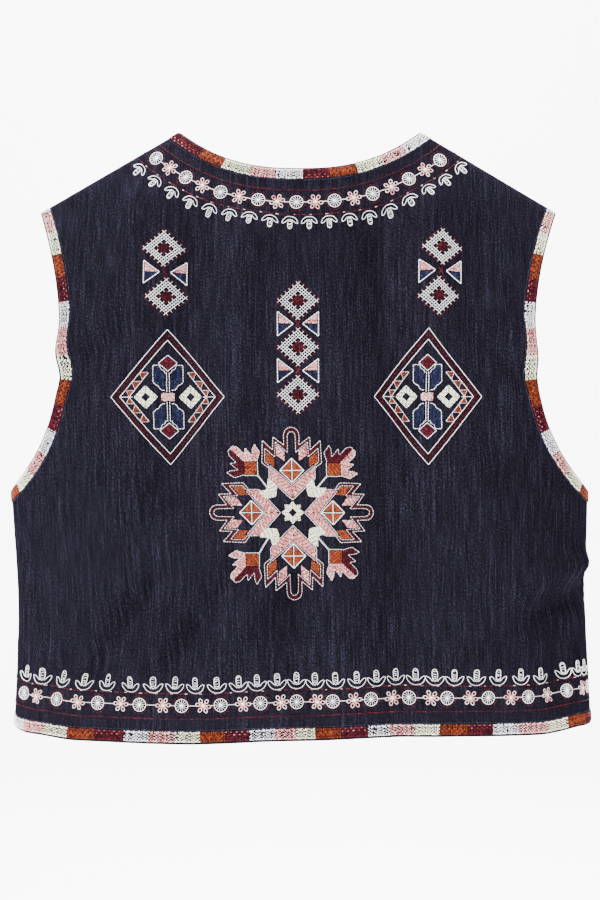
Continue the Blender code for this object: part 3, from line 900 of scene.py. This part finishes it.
class Edge:
    """A cut edge of the cloth with the line that work along it is measured on."""

    def __init__(self, side, line, inward, measured_at):
        self.side = side
        along = np.gradient(line, axis=0)
        along /= np.linalg.norm(along, axis=1, keepdims=True)
        self.line = line
        self.into_cloth = np.stack([-along[:, 1], along[:, 0]], axis=1) * inward
        measured = line + self.into_cloth * measured_at
        self.places = lengths_along(measured[:, 0], measured[:, 1])
        self.length = float(self.places[-1])

    def direction(self, place):
        into = np.array([np.interp(place, self.places, self.into_cloth[:, axis]) for axis in (0, 1)])
        return into / np.linalg.norm(into)

    def at(self, place, depth):
        """The point a distance along the edge and a depth into the cloth."""
        start = np.array([np.interp(place, self.places, self.line[:, axis]) for axis in (0, 1)])
        return start + self.direction(place) * depth

    def in_the_clear(self, place, depth):
        """Whether work there keeps its distance from the whole edge, which it can't inside a corner."""
        away = self.line - self.at(place, depth)
        return float(np.hypot(away[:, 0], away[:, 1]).min()) > depth - 1.0

    def spot(self, place, depth, size=(1.0, 1.0)):
        """A spot there whose up points into the cloth, drawn out where the cloth leans at the shoulder."""
        into = self.direction(place)
        spot = Spot(self.at(place, depth), turn=math.atan2(into[1], into[0]) - math.pi / 2, size=size)
        girth, rise = spot.centre
        rise = min(rise, float(self.side.shoulder_rise(girth)) - 2)
        low, high = self.side.on_form(np.array([girth, girth]), np.array([rise - 1, rise + 1]))
        drawn_out = min(2 / (high[2] - low[2]), LEAN_LIMIT)
        spot.right[1] *= drawn_out
        spot.up[1] *= drawn_out
        return spot

    def stitch(self, work, colour, first, last, depth, **thread):
        """One stitch that follows the edge at a depth."""
        work.stitch(colour, self.at(first, depth), self.at(last, depth), **thread)


def blocks_back_from(end, last, pitch, count):
    """Where blocks start when they are counted back from the end of an edge."""
    return (end - last - pitch * np.arange(count))[::-1]


def colour_blocks(starts, first, step=1):
    """Where each block starts and its colour, taken in turn from the first."""
    return starts, [TAPE_CYCLE[(first + step * number) % len(TAPE_CYCLE)] for number in range(len(starts))]


def block_colour(blocks, place):
    starts, colours = blocks
    return colours[max(0, int(np.searchsorted(starts, place)) - 1)]


def satin_edging(name, side, line, inward, blocks, ends=(0.0, 0.0), replaced=()):
    """Close stitches over the edge of the cloth, in blocks of colour, with a fine blue line beside them, and
    lighter flecks over the wine and rust blocks as painted highlights.
    """
    work = Work(name, side, unevenness=0.2)
    edge = Edge(side, line, inward, TAPE_MIDDLE)
    reach = edge.length - ends[0] - ends[1]
    count = round(reach / EDGING_PITCH)
    for index in range(count):
        place = ends[0] + (index + 0.5) * reach / count
        colour = block_colour(blocks, place + CHANCE.uniform(-0.5, 0.5))
        shares = [0.0] + [share + CHANCE.uniform(-0.04, 0.04) for share in EDGING_JOINS[index % 4]] + [1.0]
        inner = TAPE_END + CHANCE.uniform(-0.4, 0.4)
        outer = TAPE_START - CHANCE.uniform(0.0, 0.3)
        slant = CHANCE.uniform(-0.35, 0.35)
        hole = (DARK_HOLE if colour in (RUST, WINE) else LIGHT_HOLE) * CHANCE.uniform(0.5, 1.3)
        for low, high in zip(shares, shares[1:]):
            start = edge.at(place + slant * low, outer + (inner - outer) * low + (hole if low > 0 else 0.0))
            end = edge.at(place + slant * high, outer + (inner - outer) * high - (hole if high < 1 else 0.0))
            work.stitch(colour, start, end, width=1.02, thickness=1.2,
                        lighter=-0.08 if colour == RUST else 0.08)
    flat = Spot((0, 0))
    places = np.linspace(ends[0], edge.length - ends[1], max(2, round(edge.length / TOPSTITCH_PITCH)))
    work.line(SLATE, flat, [edge.at(place, TOPSTITCH) for place in places], length=3.1, gap=0.3, width=0.45,
              thickness=0.4, lighter=-0.3)
    # painted highlights: a dotted row of pink flecks over the wine blocks and a zigzag of lighter rust over
    # the rust blocks
    for number, place in enumerate(np.arange(ends[0] + 1.0, edge.length - ends[1] - 2.5, HIGHLIGHT_FLECK_PITCH)):
        colour = block_colour(blocks, place)
        if colour == WINE == block_colour(blocks, place + 1.6):
            depth = TAPE_END - 0.8 if number % 2 else TAPE_MIDDLE + 1.0
            edge.stitch(work, PINK, place, place + 1.2, depth, width=0.55, thickness=0.5, base=0.5,
                        lighter=CHANCE.uniform(-0.4, 0.1))
        elif colour == RUST == block_colour(blocks, place + 1.6):
            low, high = (-2.0, 1.6) if number % 2 else (1.6, -2.0)
            start, end = edge.at(place - 0.4, TAPE_MIDDLE + low), edge.at(place + 1.9, TAPE_MIDDLE + high)
            work.stitch(RUST, start, end, width=0.6, thickness=0.5, base=0.5,
                        lighter=CHANCE.uniform(0.2, 0.7))
    return work.finish(replaced)


def wheel(work, spot):
    """A white wheel with bare slots between its spokes, inside a fine wine ring."""
    for index in range(WHEEL_SPOKES):
        angle = 2 * math.pi * (index + 0.3) / WHEEL_SPOKES
        work.stitch(WHITE, spot.at(*on_circle(1.2, angle)), spot.at(*on_circle(WHEEL_RADIUS, angle)),
                    width=0.31, thickness=0.8, lighter=0.4)
    work.lay(RIM_RING, WHITE, spot.centre, spot.right * WHEEL_RADIUS, spot.up * WHEEL_RADIUS, 7.0, 0.1, 0.4)
    work.lay(KNOT, WHITE, spot.centre, spot.right * 3.0, spot.up * 3.0, 1.3, 0.1, 0.3)
    for index in range(14):
        angle = index * math.pi / 7
        arc = [on_circle(WHEEL_RADIUS + 2.0, turn) for turn in (angle, angle + 0.36)]
        work.line(WINE, spot, arc, width=0.8, thickness=0.5, lighter=-0.12)


def flower(work, spot):
    """Six looped petals round a cream centre, each with a bare eye."""
    tilt = CHANCE.uniform(-0.3, 0.3)
    for index in range(6):
        angle = tilt + index * math.pi / 3 + CHANCE.uniform(-0.08, 0.08)
        petal = spot.turned(*on_circle(FLOWER_RADIUS, angle), angle - math.pi / 2)
        work.lay(PETAL_LOOP, PINK, petal.centre, petal.right * 1.24, petal.up * 1.6, 1.6, 0.15, 0.3)
        for hand, lighter in ((-1, 0.3), (1, 0.0)):
            work.stitch(PINK, petal.at(0.4 * hand, -3.3), petal.at(0.6 * hand, -1.0), width=0.6,
                        thickness=0.7, lighter=lighter)
    work.lay(KNOT, CREAM, spot.centre, spot.right * 2.8, spot.up * 2.8, 1.7, 0.35, 0.3)


def tulip(work, spot):
    """A white bud between two outlined leaves."""
    for hand in (-1, 1):
        outer = [(0, -6.3), (2.4, -6.0), (4.4, -5.0), (6.0, -3.2), (7.0, -1.1), (7.2, 0.4)]
        inner = [(7.2, 0.4), (6.2, 0.7), (4.4, -0.3), (2.9, -1.9), (1.6, -3.2)]
        for arc in (outer, inner):
            work.line(WHITE, spot, [(hand * x, y) for x, y in arc], length=3.2, gap=-0.3, width=0.42,
                      lighter=0.4)
    bud = [(0, -3.3), (1.5, -2.0), (1.9, 0.4), (1.9, 4.0), (1.3, 5.6), (0, 6.1), (-1.3, 5.6), (-1.9, 4.0),
           (-1.9, 0.4), (-1.5, -2.0)]
    work.line(WHITE, spot, bud, closed=True, length=3.2, gap=-0.3, width=0.52, lighter=0.4)
    for height in (-1.2, 0.6, 2.4, 4.4):
        start = CHANCE.uniform(-1.8, -0.9)
        work.stitch(WHITE, spot.at(start, height), spot.at(start + 2.4, height + CHANCE.uniform(-0.9, 0.9)),
                    width=0.55, lighter=CHANCE.choice((-0.2, 0.4)))


def well_spaced(edge, places, depth, placed):
    """The places that are in the clear and not too near a motif that is already placed."""
    kept = []
    for place in places:
        centre = edge.at(place, depth)
        near = any(math.dist(centre, other) < MOTIF_ROOM for other in placed)
        if not near and edge.in_the_clear(place, depth):
            placed.append(centre)
            kept.append(place)
    return kept


def band(work, edge, wheels, flowers, tulips, lines, start, end):
    """Chain of wheels and flowers between two wine lines, with tulips beyond."""
    places = np.arange(start, end, LINE_STITCH)
    for number, (first, last) in enumerate(zip(places, places[1:])):
        if edge.in_the_clear((first + last) / 2, lines.inner):
            edge.stitch(work, WINE, first + 0.25, last - 0.25, lines.inner, width=0.95, thickness=0.6,
                        lighter=-0.1)
        if not edge.in_the_clear((first + last) / 2, lines.outer):
            continue
        if number % 3 == 1:
            edge.stitch(work, PINK, first + 0.3, last - CHANCE.uniform(1.2, 2.6), lines.outer, width=0.6,
                        thickness=0.6, lighter=CHANCE.uniform(-0.3, 0.3))
        else:
            edge.stitch(work, WINE, first + 0.3, last - 0.3, lines.outer, width=0.95, thickness=0.6,
                        lighter=-0.08)
    placed = []
    wheels = well_spaced(edge, wheels, lines.wheels, placed)
    flowers = well_spaced(edge, flowers, lines.wheels, placed)
    for place in wheels:
        wheel(work, edge.spot(place, lines.wheels))
    for place in flowers:
        flower(work, edge.spot(place, lines.wheels))
    chain = sorted(wheels + flowers)
    for first, second in zip(chain, chain[1:]):
        if second - first < WHEEL_PITCH * 0.8:
            edge.stitch(work, WHITE, first + 5.0, second - 5.0, lines.wheels, width=0.42, lighter=0.2)
    for place in well_spaced(edge, tulips, lines.tulips, []):
        tulip(work, edge.spot(place, lines.tulips, lines.tulip_size))


def between(places):
    return [(first + second) / 2 for first, second in zip(places, places[1:])]


# Motifs of the back

def cross_diamond(work, spot):
    """A diamond of white cross stitches round a wine clover, edged with wine."""
    across, up, reach = 2.85, 2.57, 5
    for column in range(-reach, reach + 1):
        for row in range(-reach, reach + 1):
            if not 2 < abs(column) + abs(row) <= reach:
                continue
            x, y = column * across, row * up
            for hand, base in ((-1, -0.1), (1, 0.15)):
                arm, rise = 0.57 * across * hand, 0.57 * up
                work.stitch(WHITE, spot.at(x - arm, y - rise), spot.at(x + arm, y + rise), width=0.36,
                            thickness=0.7, base=base, lighter=0.15)
    lobes = []
    for index in range(32):
        angle = index * math.pi / 16
        radius = 4.5 + math.cos(4 * angle)
        lobes.append((1.1 * radius * math.cos(angle), 0.92 * radius * math.sin(angle)))
    work.satin(WINE, spot, lobes, slant=90, thickness=0.9, lighter=-0.05)
    for end in (1, -1):
        for hand in (1, -1):
            for step in range(reach + 1):
                x, y = hand * (step + 0.5) * across, end * (reach + 0.7 - step) * up
                work.stitch(WINE, spot.at(x - 1.1 * hand, y + end), spot.at(x + 1.1 * hand, y - end),
                            width=0.85, thickness=0.5, lighter=-0.1)
                if step % 2:
                    work.stitch(WINE, spot.at(x - 0.9, y - 0.9), spot.at(x + 0.9, y + 0.9), width=0.8,
                                thickness=0.4)


def half_and_half(work, spot):
    """A triangle that points along +x, pink above and blue below, outlined in white."""
    work.satin(PINK, spot, [(-5.2, 0.3), (4.8, 0.3), (-5.2, 7.9)], slant=0, width=0.92)
    work.satin(BLUE, spot, [(-5.2, -0.3), (-5.2, -7.9), (4.8, -0.3)], slant=90)
    work.line(WHITE, spot, [(-6.0, 9.3), (6.2, 0.0), (-6.0, -9.3)], closed=True, length=2.2, width=0.72,
              lighter=0.3)


def diamond_column(work, diamonds, beside):
    """Cross-stitched diamonds one above another with a pair of triangles beside each waist."""
    for centre in diamonds:
        cross_diamond(work, Spot(centre, size=(1.0, 1.03)))
    for (upper_x, upper_y), (lower_x, lower_y) in zip(diamonds, diamonds[1:]):
        x, y = (upper_x + lower_x) / 2, (upper_y + lower_y) / 2
        half_and_half(work, Spot((x - beside, y)))
        half_and_half(work, Spot((x + beside, y), size=(-1.0, 1.0)))
        for hand in (-1, 1):
            work.stitch(WINE, (x - 1.6 * hand, y - 2.4), (x + 1.6 * hand, y + 2.4), width=1.1, thickness=0.6)


def framed_tulips(work, centre, size):
    """A large diamond frame round two tulips, two cream diamonds and rows of rust triangles."""
    spot = Spot(centre, size=size)
    outline = [(0, 52.4), (43.6, 0), (0, -52.4), (-43.6, 0)]
    for share in (1.0, 0.84):
        work.line(WHITE, spot, scaled(outline, share), closed=True, length=2.4, gap=0.15, width=0.5,
                  lighter=0.4)
    for share in (0.952, 0.890):
        work.line(WINE, spot, scaled(outline, share), closed=True, length=3.2, gap=0.4, width=1.3,
                  thickness=0.5, lighter=-0.46)
    # a dashed lighter wine line along the middle of the frame's wine band: a painted highlight
    work.line(WINE, spot, scaled(outline, 0.921), closed=True, length=1.9, gap=1.5, width=0.6, thickness=0.6,
              lighter=0.1)

    petal = [(-11.0, 24.6), (-5.2, 24.6), (-2.2, 19.6), (-2.2, 5.2), (-4.4, 5.2), (-6.6, 7.2), (-6.8, 8.6),
             (-9.2, 9.6), (-11.0, 11.6)]
    for end in (1, -1):
        half = spot.turned(size=(1.0, end))
        for hand in (1, -1):
            leaf = half.turned(size=(hand, 1.0))
            fill = [(x * 0.94 - 0.3, 15.0 + (y - 15.0) * 0.94) for x, y in petal]
            work.satin(BLUE, leaf, fill, slant=90, width=0.92)
            work.line(WHITE, leaf, petal[3:] + petal[:2], length=1.9, gap=0.4, width=0.52, lighter=0.35)
            work.line(WHITE, leaf, [(-0.95, 19.2), (-0.95, 3.6)], length=1.9, gap=0.3, width=0.45,
                      lighter=0.3)
            work.line(WHITE, leaf, [(-1.9, 18.2), (-3.0, 20.6), (-5.2, 21.6), (-6.0, 24.4)], length=1.8,
                      gap=0.1, width=0.5, lighter=0.3)
        bud = [(0, 31.6), (6.0, 26.2), (0, 20.8), (-6.0, 26.2)]
        work.satin(WINE, half, bud, slant=0, lighter=0.15)
        rim = [(x * 1.14, 26.2 + (y - 26.2) * 1.16) for x, y in bud]
        work.line(WHITE, half, rim, closed=True, length=2.0, gap=0.2, width=0.5, lighter=0.3)
    heart = [(-4.5, 2.5), (-3.8, 3.4), (-0.9, 3.4), (0, 2.7), (0.9, 3.4), (3.8, 3.4), (4.5, 2.5),
             (4.5, -2.5), (3.8, -3.4), (0.9, -3.4), (0, -2.7), (-0.9, -3.4), (-3.8, -3.4), (-4.5, -2.5)]
    work.satin(PINK, spot, heart, slant=90, lighter=0.12)
    for hand in (-1, 1):
        cream_diamond(work, spot.turned(16.6 * hand, 0))
        work.line(WHITE, spot, [(26.6 * hand, 0), (36.0 * hand, 0)], length=2.4, width=0.5)
        for end in (-1, 1):
            side = spot.turned(size=(hand, end))
            work.line(WHITE, side, [(14.3, 18.9), (29.7, -0.4)], length=2.2, gap=0.2, width=0.48,
                      lighter=0.2)
            for x, y, size in ((14.3, 18.9, 1.05), (19.9, 11.9, 1.1), (25.5, 4.9, 0.9)):
                tooth = side.turned(x, y, size=(size, size))
                work.satin(RUST, tooth, [(5.9, -0.3), (0.5, -0.3), (4.1, -5.0)], slant=0, pitch=0.95)
                for rim in ([(6.4, 0.2), (0.2, 0.2)], [(6.5, -0.1), (4.2, -5.5)]):
                    work.line(PINK, tooth, rim, length=2.4, width=0.42, lighter=0.3)


def cream_diamond(work, spot):
    """A satin diamond in four quarters round a bare square."""
    for quarter in range(4):
        part = spot.turned(turn=quarter * math.pi / 2)
        work.satin(CREAM, part, [(3.2, 0), (9.5, 0), (0, 9.1), (0, 3.2)], slant=136, lighter=0.25)


STAR_ARM_LENGTHS = [0.992, 0.975, 1.02, 0.948]   # up, left, down and right


def star(work, centre):
    """The large star: chevrons, crowned diamonds and forked leaves round a small eight-pointed star."""
    spot = Spot(centre)
    part = [(3.0, 0.0), (9.5, 0.0), (5.9, 2.5), (6.6, 6.3), (2.5, 5.9), (0.0, 9.5), (0.0, 3.0)]
    corners = [(32.1, 33.3), (34.0, 31.8), (32.2, 36.4), (33.6, 32.6)]
    for quarter in range(4):
        turn = quarter * math.pi / 2
        work.satin(CREAM, spot.turned(turn=turn), part, slant=45, lighter=0.2)
        star_arm(work, spot.turned(turn=turn, size=(1.0, STAR_ARM_LENGTHS[quarter])))
        star_corner(work, spot.turned(turn=turn), corners[quarter])


def star_arm(work, arm):
    """One chevron with its crowned jewel, pointing along +y."""
    for hand in (-1, 1):
        side = arm.turned(size=(hand, 1.0))
        work.satin(PINK, side, [(0, 10.6), (17.2, 26.6), (17.2, 36.0), (0, 21.2)], slant=104, lighter=-0.05)
        work.satin(RUST, side, [(20.0, 48.0), (13.2, 41.1), (13.6, 35.4), (20.0, 39.4)], slant=42,
                   lighter=0.25)
        work.satin(PINK, side, [(11.7, 53.5), (5.3, 47.8), (5.6, 39.8), (11.8, 44.4)], slant=90)
        outer = [(18.2, 34.8), (23.0, 38.6), (22.3, 56.0), (14.5, 48.6), (14.2, 58.8), (5.9, 52.4),
                 (5.9, 61.0), (4.6, 64.2), (2.0, 66.0), (0, 66.3)]
        inner = [(17.6, 36.6), (20.8, 39.4), (20.6, 50.0), (13.0, 43.2), (12.4, 55.0), (4.4, 47.8),
                 (3.2, 46.6), (3.1, 59.6), (2.0, 62.2), (0, 63.0)]
        work.satin(WINE, side, outer + list(reversed(inner)), slant=90, pitch=0.95, lighter=-0.1)
        for crown, width, lighter in ((outer, 0.42, 0.4), (inner, 0.38, 0.3)):
            work.line(WHITE, side, crown, length=1.5, gap=0.55, width=width, thickness=0.95, lighter=lighter)
        below, above = [(0, 9.7), (17.8, 26.4), (17.8, 36.4)], [(0, 22.0), (16.8, 36.6)]
        for rim, width, lighter in ((below, 0.42, 0.2), (above, 0.36, 0.1)):
            work.line(WHITE, side, rim, length=1.8, gap=0.3, width=width, lighter=lighter)
        for low, high in ((33.4, 40.8), (32.2, 24.8)):
            work.satin(RUST, side, [(0.7, low), (0.7, high), (7.8, low)], slant=0, pitch=0.95, lighter=0.2)
    jewel = [(0, 42.2), (9.3, 32.8), (0, 23.4), (-9.3, 32.8)]
    work.line(WHITE, arm, jewel, closed=True, length=2.0, gap=0.15, width=0.66, lighter=0.35)
    for facet in ([(-8.8, 32.8), (8.8, 32.8)], [(0, 41.6), (0, 23.8)]):
        work.line(WHITE, arm, facet, length=2.0, gap=0.1, width=0.58, thickness=1.0, lighter=0.35)


def star_corner(work, corner, square_at):
    """The cream corner piece and the forked leaves on a rust square, on the diagonal of +x and +y."""
    shape = [(17.0, 24.6), (15.2, 25.4), (10.8, 20.4), (11.2, 16.2), (12.3, 12.3), (20.2, 11.6), (25.6, 16.6),
             (26.0, 19.2), (19.6, 19.4), (17.6, 21.0)]
    work.satin(CREAM, corner, shape, slant=45, lighter=0.2)
    for offset in (-0.22, 0.22):
        stalk = [(19.4 + offset, 19.4 - offset), (square_at[0] - 5.6 + offset, square_at[1] - 5.6 - offset)]
        work.line(WHITE, corner, stalk, length=1.8, width=0.42, lighter=0.3)
    square = corner.turned(*square_at)
    half = 4.9
    work.satin(RUST, square, [(-half, -half), (half, -half), (half, half), (-half, half)], slant=90,
               lighter=0.15)
    leaf = [(-4.9, 5.4), (-7.2, 12.6), (-3.2, 18.6), (-1.7, 15.4), (-1.2, 9.6), (3.8, 15.8), (4.6, 10.9),
            (10.2, 16.6), (14.0, 17.2), (15.4, 15.0), (5.1, 5.2)]
    for colour, beside in ((WINE, False), (PINK, True)):
        shape = [(y, x) for x, y in leaf] if beside else leaf
        work.satin(colour, square, shape, slant=15 if beside else 75)
        work.line(WHITE, square, shape[:-1], length=1.6, gap=0.55, width=0.38, lighter=0.35)
    work.line(WHITE, square, [(-5.4, 5.4), (-5.4, -5.4), (5.4, -5.4)], length=1.6, gap=0.4, width=0.5,
              lighter=0.3)


# Making of the vest

def make_back():
    half = BACK.half_girth
    hem = hem_edge(BACK, -half, half)
    neck = back_neck_edge()
    armholes = {hand: armhole_edge(BACK, hand) for hand in (-1, 1)}
    outline = np.concatenate([
        hem, side_edge(BACK, 1), armholes[1], shoulder_edge(BACK, 1), neck, shoulder_edge(BACK, -1)[::-1],
        armholes[-1][::-1], side_edge(BACK, -1)[::-1]])
    panel = cloth_panel("back_cloth", "back_panel", BACK, outline)

    hem_starts = np.array(HEM_BLOCKS) + half
    neck_starts = NECK_BLOCK * np.arange(10) + FIRST_NECK_BLOCK
    neck_starts[0] = 0.0
    pieces = [
        satin_edging("back_hem_edging", BACK, hem, 1, colour_blocks(hem_starts, WHITE),
                     replaced=["back_hem_tape"]),
        satin_edging("back_neck_edging", BACK, neck, 1, colour_blocks(neck_starts, WHITE),
                     replaced=["back_neck_tape"]),
    ]
    for hand, word in ((-1, "left"), (1, "right")):
        length = Edge(BACK, armholes[hand], hand, TAPE_MIDDLE).length
        starts = blocks_back_from(length, LAST_ARMHOLE_BLOCK, ARMHOLE_BLOCK, 18)
        blocks = colour_blocks(starts, CREAM, step=-1)
        pieces.append(satin_edging(f"back_{word}_armhole_edging", BACK, armholes[hand], hand, blocks,
                                   replaced=[f"back_{word}_armhole_tape"]))

    hem_work = Work("back_hem_band", BACK)
    wheels = [place + half for place in HEM_WHEELS]
    flowers = [place + FLOWER_SHIFT for place in between(wheels + [wheels[-1] + 28])][:-1]
    tulips = [place + half for place in HEM_TULIPS]
    band(hem_work, Edge(BACK, hem, 1, 0.0), wheels, flowers, tulips, HEM_BAND, 0.5, 2 * half - 0.5)
    pieces.append(hem_work.finish())

    neck_work = Work("back_neck_band", BACK)
    edge = Edge(BACK, neck, 1, NECK_BAND.wheels)
    middle = edge.length / 2 + 1.6
    # the wheels and the tulips sit a little closer at the middle of the neck
    wheels = [middle + WHEEL_PITCH * index * (0.945 + 0.015 * abs(index)) for index in range(-4, 5)]
    tulips = [middle - 2.7 + 14.3 * step * (1 + 0.0008 * step * step) for step in np.arange(-8.5, 9.0)]
    band(neck_work, edge, wheels, between(wheels), tulips, NECK_BAND, 0.5, edge.length - 0.5)
    pieces.append(neck_work.finish())

    small = Work("back_cross_stitch", BACK)
    diamond_column(small, [(-104.5, -94.0), (-102.0, -133.0)], 10.4)
    diamond_column(small, [(112.0, -94.5), (109.0, -133.5)], 10.6)
    diamond_column(small, [(0.5, -137.5), (0.5, -173.0), (0.2, -209.5)], 9.8)
    pieces.append(small.finish())

    large = Work("back_framed_tulips", BACK)
    framed_tulips(large, (-101.0, -211.4), (1.025, 1.0))
    framed_tulips(large, (101.2, -211.0), (0.965, 1.006))
    pieces.append(large.finish())

    medallion = Work("back_star", BACK)
    star(medallion, (-5.6, -300.5))
    pieces.append(medallion.finish())
    return panel, outline, pieces


def make_front(word, hand):
    half = FRONT.half_girth
    edge = front_edge(hand)
    armhole = armhole_edge(FRONT, hand)
    hem = hem_edge(FRONT, edge[0][0], hand * half)
    outline = np.concatenate([
        hem, side_edge(FRONT, hand), armhole, shoulder_edge(FRONT, hand), edge[::-1][:-1]])
    if hand < 0:
        outline = outline[::-1]
    panel = cloth_panel(f"{word}_front_cloth", f"front_{word}_panel", FRONT, outline)

    hem_length = Edge(FRONT, hem, hand, TAPE_MIDDLE).length
    edge_length = Edge(FRONT, edge, -hand, TAPE_MIDDLE).length
    arm_length = Edge(FRONT, armhole, hand, TAPE_MIDDLE).length
    hem_starts = blocks_back_from(hem_length, LAST_FRONT_HEM_BLOCK, FRONT_HEM_BLOCK, 14)
    neck_starts = blocks_back_from(edge_length, LAST_FRONT_NECK_BLOCK, NECK_BLOCK, 30)
    arm_starts = blocks_back_from(arm_length, LAST_FRONT_ARMHOLE_BLOCK, ARMHOLE_BLOCK, 18)
    pieces = [
        satin_edging(f"{word}_front_hem_edging", FRONT, hem, hand, colour_blocks(hem_starts, RUST),
                     ends=(TAPE_START, 0.0), replaced=[f"front_{word}_hem_tape"]),
        satin_edging(f"{word}_front_neck_edging", FRONT, edge, -hand, colour_blocks(neck_starts, PINK),
                     ends=(TAPE_END + 0.6, 0.0), replaced=[f"front_{word}_edge_tape"]),
        satin_edging(f"{word}_front_armhole_edging", FRONT, armhole, hand,
                     colour_blocks(arm_starts, RUST, step=-1), replaced=[f"front_{word}_armhole_tape"]),
    ]

    # the hem's band starts beside the front edge's, and at the side seam it carries on the band of the back
    work = Work(f"{word}_front_bands", FRONT)
    hem_line = Edge(FRONT, hem, hand, 0.0)
    start = BAND_REACH + 4.0
    from_seam = 10.0 if hand > 0 else WHEEL_PITCH
    wheels = list(np.arange(hem_length - from_seam, start + 8.0, -WHEEL_PITCH))[::-1]
    flowers = between(wheels + [wheels[-1] + WHEEL_PITCH]) if hand < 0 else between(wheels)
    band(work, hem_line, wheels, flowers, wheels + flowers, HEM_BAND, start, hem_line.length)
    neck_line = Edge(FRONT, edge, -hand, NECK_BAND.wheels)
    wheels = list(np.arange(neck_line.length - LAST_FRONT_WHEEL, FIRST_FRONT_WHEEL, -WHEEL_PITCH))[::-1]
    flowers = between(wheels) + [wheels[-1] + WHEEL_PITCH / 2]
    tulips = [place - TULIP_SHIFT for place in sorted(wheels + flowers) if place > FIRST_FRONT_TULIP]
    band(work, neck_line, wheels, flowers, tulips, NECK_BAND, TAPE_END + 4.0, neck_line.length - 0.5)
    pieces.append(work.finish())
    return panel, outline, pieces


# Studio, in metres

FLOOR_SIZE = 6.0
FLOOR_HEIGHT = -0.86
SWEEP_RADIUS = 0.8        # of the curve from the floor up to the backdrop
CAMERA_LENS = 103.9
CAMERA_DISTANCE = 2.061
CAMERA_HEIGHT = -0.2523


def make_floor():
    """A pale floor that sweeps up into a backdrop."""
    bpy.ops.object.select_all(action="DESELECT")
    bpy.ops.mesh.primitive_plane_add(size=FLOOR_SIZE, location=(0, 0, FLOOR_HEIGHT))
    floor = bpy.context.object
    floor.name = "pale_floor"
    mesh = floor.data
    for vertex in mesh.vertices:
        vertex.select = False
    for edge in mesh.edges:
        edge.select = all(mesh.vertices[index].co.y > 2.9 for index in edge.vertices)
        for index in edge.vertices:
            mesh.vertices[index].select = mesh.vertices[index].select or edge.select
    for polygon in mesh.polygons:
        polygon.select = False
    bpy.ops.object.mode_set(mode="EDIT")
    bpy.ops.mesh.select_mode(type="EDGE")
    bpy.ops.mesh.spin(steps=12, angle=-math.pi / 2, center=(0, FLOOR_SIZE / 2, FLOOR_HEIGHT + SWEEP_RADIUS),
                      axis=(1, 0, 0))
    bpy.ops.mesh.extrude_region_move(TRANSFORM_OT_translate={"value": (0, 0, 3.0)})
    bpy.ops.object.mode_set(mode="OBJECT")
    mesh.shade_smooth()
    material, tree, shader = new_material("pale_studio_floor")
    grain = add_node(tree, "ShaderNodeTexNoise", inputs={"Scale": 3.0})
    colour = shaded(tree, grain.outputs["Fac"], "#f1f1f1", "#f7f7f7")
    tree.links.new(colour, shader.inputs["Base Color"])
    shader.inputs["Roughness"].default_value = 0.9
    floor.data.materials.append(material)


def light_up():
    """Soft lamps round the vest and over the backdrop, in a dim white surrounding."""
    world = bpy.context.scene.world or bpy.data.worlds.new("studio")
    bpy.context.scene.world = world
    world.use_nodes = True
    background = world.node_tree.nodes["Background"]
    background.inputs["Color"].default_value = (1.0, 1.0, 1.0, 1.0)
    background.inputs["Strength"].default_value = 0.2

    # each lamp has a name, a place, what it is aimed at, a size and a power
    vest = Vector((0, 0, -0.24))
    for name, place, aim, size, power in (
        ("key_softbox", Vector((-3.8, -4.0, 1.8)), vest, 1.4, 1150.0),
        ("fill_softbox", Vector((2.4, -1.7, -0.1)), vest, 1.6, 92.0),
        ("backdrop_softbox", Vector((0.0, 1.0, 1.9)), Vector((0, 2.8, 0.0)), 2.4, 900.0),
        ("front_softbox", Vector((0.9, 2.2, 1.2)), vest, 1.4, 60.0),
    ):
        lamp = bpy.data.lights.new(name, "AREA")
        lamp.energy = power
        lamp.size = size
        lamp_object = bpy.data.objects.new(name, lamp)
        bpy.context.scene.collection.objects.link(lamp_object)
        lamp_object.location = place
        lamp_object.rotation_euler = (aim - place).to_track_quat("-Z", "Y").to_euler()


def place_camera():
    """The photograph's view, level and straight at the back of the vest."""
    camera = bpy.data.cameras.new("photograph")
    camera.lens = CAMERA_LENS
    camera.sensor_width = 36.0
    camera_object = bpy.data.objects.new("photograph", camera)
    bpy.context.scene.collection.objects.link(camera_object)
    camera_object.location = (0.0, -CAMERA_DISTANCE, CAMERA_HEIGHT)
    camera_object.rotation_euler = (math.pi / 2, 0.0, 0.0)
    bpy.context.scene.camera = camera_object


back_panel, back_outline, back_pieces = make_back()
left_panel, left_outline, left_pieces = make_front("left", -1)
right_panel, right_outline, right_pieces = make_front("right", 1)
make_floor()
light_up()
place_camera()
